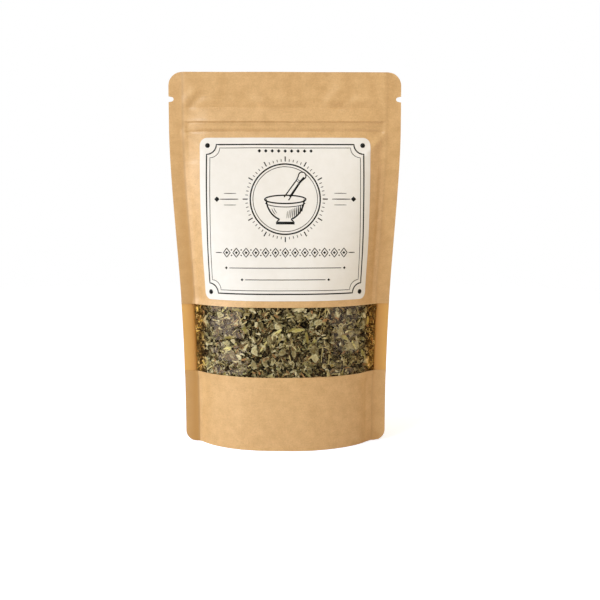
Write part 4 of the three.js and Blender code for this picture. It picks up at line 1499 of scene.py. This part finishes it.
bowl_q = RIM_Q - BOWL_DEEP * np.linspace(0, 1, 12)
for side in (-1, 1):
    ink_line(np.stack([side * bowl_half(bowl_q), bowl_q], -1), 0.85)
ink_line(arc((0, RIM_Q), RIM_HALF, 0, 360, squash=0.20)[:-1], 0.75, closed=True)
ink_line(arc((0, RIM_Q - 1.5), RIM_HALF - 0.1, 192, 348, squash=0.24), 0.45)
foot_top, foot_q = bowl_half(RIM_Q - BOWL_DEEP), RIM_Q - BOWL_DEEP
foot_low = foot_q - FOOT_DROP - 0.6
ink_line([(-foot_top, foot_q), (-foot_top - 1.7, foot_low),
          (foot_top + 1.7, foot_low), (foot_top, foot_q)], 0.70)
ink_patch([(-foot_top - 1.9, foot_low + 0.1), (foot_top + 1.9, foot_low + 0.1)],
          [(-foot_top - 1.9, foot_low - 1.2), (foot_top + 1.9, foot_low - 1.2)])
HATCHES = 9
for step in range(HATCHES):
    x = 1.2 + 1.05 * step
    q_high = RIM_Q - 3.8 + 0.12 * step - 0.32 * (HATCHES - 1 - step)
    q_low = RIM_Q - BOWL_DEEP * (1 - ((x + 0.2) / (RIM_HALF * 1.02)) ** 2.6) ** 0.42 + 0.5
    if q_low < q_high - 0.6:
        ink_line([(x, q_high), (x - 0.35, q_low)], 0.32 + 0.06 * step, taper=0.5)
for step in range(3):
    ink_line(arc((0, RIM_Q - 2.8), 9.0 - 1.2 * step, 196, 226), 0.38, taper=0.6)
print(len(ink_faces), "strokes up to the mortar")

# %% Pestle and its grip
PESTLE_FOOT, PESTLE_HEAD = np.array([0.6, 56.0]), np.array([9.4, 68.6])
reach = PESTLE_HEAD - PESTLE_FOOT
lean = reach / np.hypot(*reach)
aside = np.array([-lean[1], lean[0]])
shaft = np.linspace(0, 1, 9)
widths = 1.5 - 0.35 * shaft + 1.0 * smooth(shaft, 0.80, 1.0)
middle = PESTLE_FOOT + np.outer(shaft, reach)
left, right = middle + np.outer(widths, aside), middle - np.outer(widths, aside)
ink_line(left, 0.65)
ink_line(right, 0.65)
head_angle = math.degrees(math.atan2(lean[1], lean[0]))
ink_line(arc(PESTLE_HEAD, widths[-1], head_angle + 90, head_angle - 90, count=10), 0.65)
ink_patch(right[1:], right[1:] + np.outer(widths[1:], aside) * 0.62)
for share in (0.74, 0.80):
    row = PESTLE_FOOT + share * reach
    ink_line([row + aside * 1.2, row - aside * 1.2], 0.38)
print("pestle leans", round(90 - head_angle), "degrees")

# %% Lozenge band and lines to write on
BAND_Q, LOZENGES, LOZENGE_STEP = 26.4, 13, 5.4
LOZENGE_HALF, LOZENGE_TALL = 1.9, 2.5
TOP_DOTS, TOP_DOT_STEP, TOP_DOT_Q = 9, 3.6, 82.4

for i in range(LOZENGES):
    x = (i - (LOZENGES - 1) / 2) * LOZENGE_STEP
    ink_line([(x - LOZENGE_HALF, BAND_Q), (x, BAND_Q + LOZENGE_TALL),
              (x + LOZENGE_HALF, BAND_Q), (x, BAND_Q - LOZENGE_TALL)], 0.50, closed=True)
    ink_dot((x, BAND_Q), 0.85, 4)
    if i < LOZENGES - 1:
        for rise in (-1.5, 1.5):
            ink_dot((x + LOZENGE_STEP / 2, BAND_Q + rise), 0.42, 8)
for side in (-1, 1):
    ink_line([(side * 35.2, BAND_Q), (side * 38.8, BAND_Q)], 0.5, taper=0.3)
for half, q in ((31.0, 18.0), (22.0, 11.6)):
    ink_line([(-half, q), (half, q)], 0.42)
for side in (-1, 1):
    ink_dot((side * 32.8, 18.0), 0.8, 4)
    ink_dot((side * 23.8, 11.6), 0.8, 4)
for i in range(TOP_DOTS):
    ink_dot(((i - (TOP_DOTS - 1) / 2) * TOP_DOT_STEP, TOP_DOT_Q), 1.0, 4)
print(len(ink_faces), "strokes in all")

# %% Print piece and ink
label_print = add_mesh("label_print", np.concatenate(ink_places), sum(ink_faces, []))
ink, tree, shader = start_material("black_ink", Roughness=0.42, Specular_IOR_Level=0.2)
worn = noise(tree, add_node(tree, "TexCoord").outputs["Object"], 1400.0, 3.0)
plug(tree, shader.inputs["Base Color"], mix_colours(tree, worn, (0.005, 0.005, 0.005), (0.020, 0.019, 0.018)))
plug(tree, shader.inputs["Roughness"], map_range(tree, worn, 0.0, 1.0, 0.34, 0.52))
dress(label_print, ink)
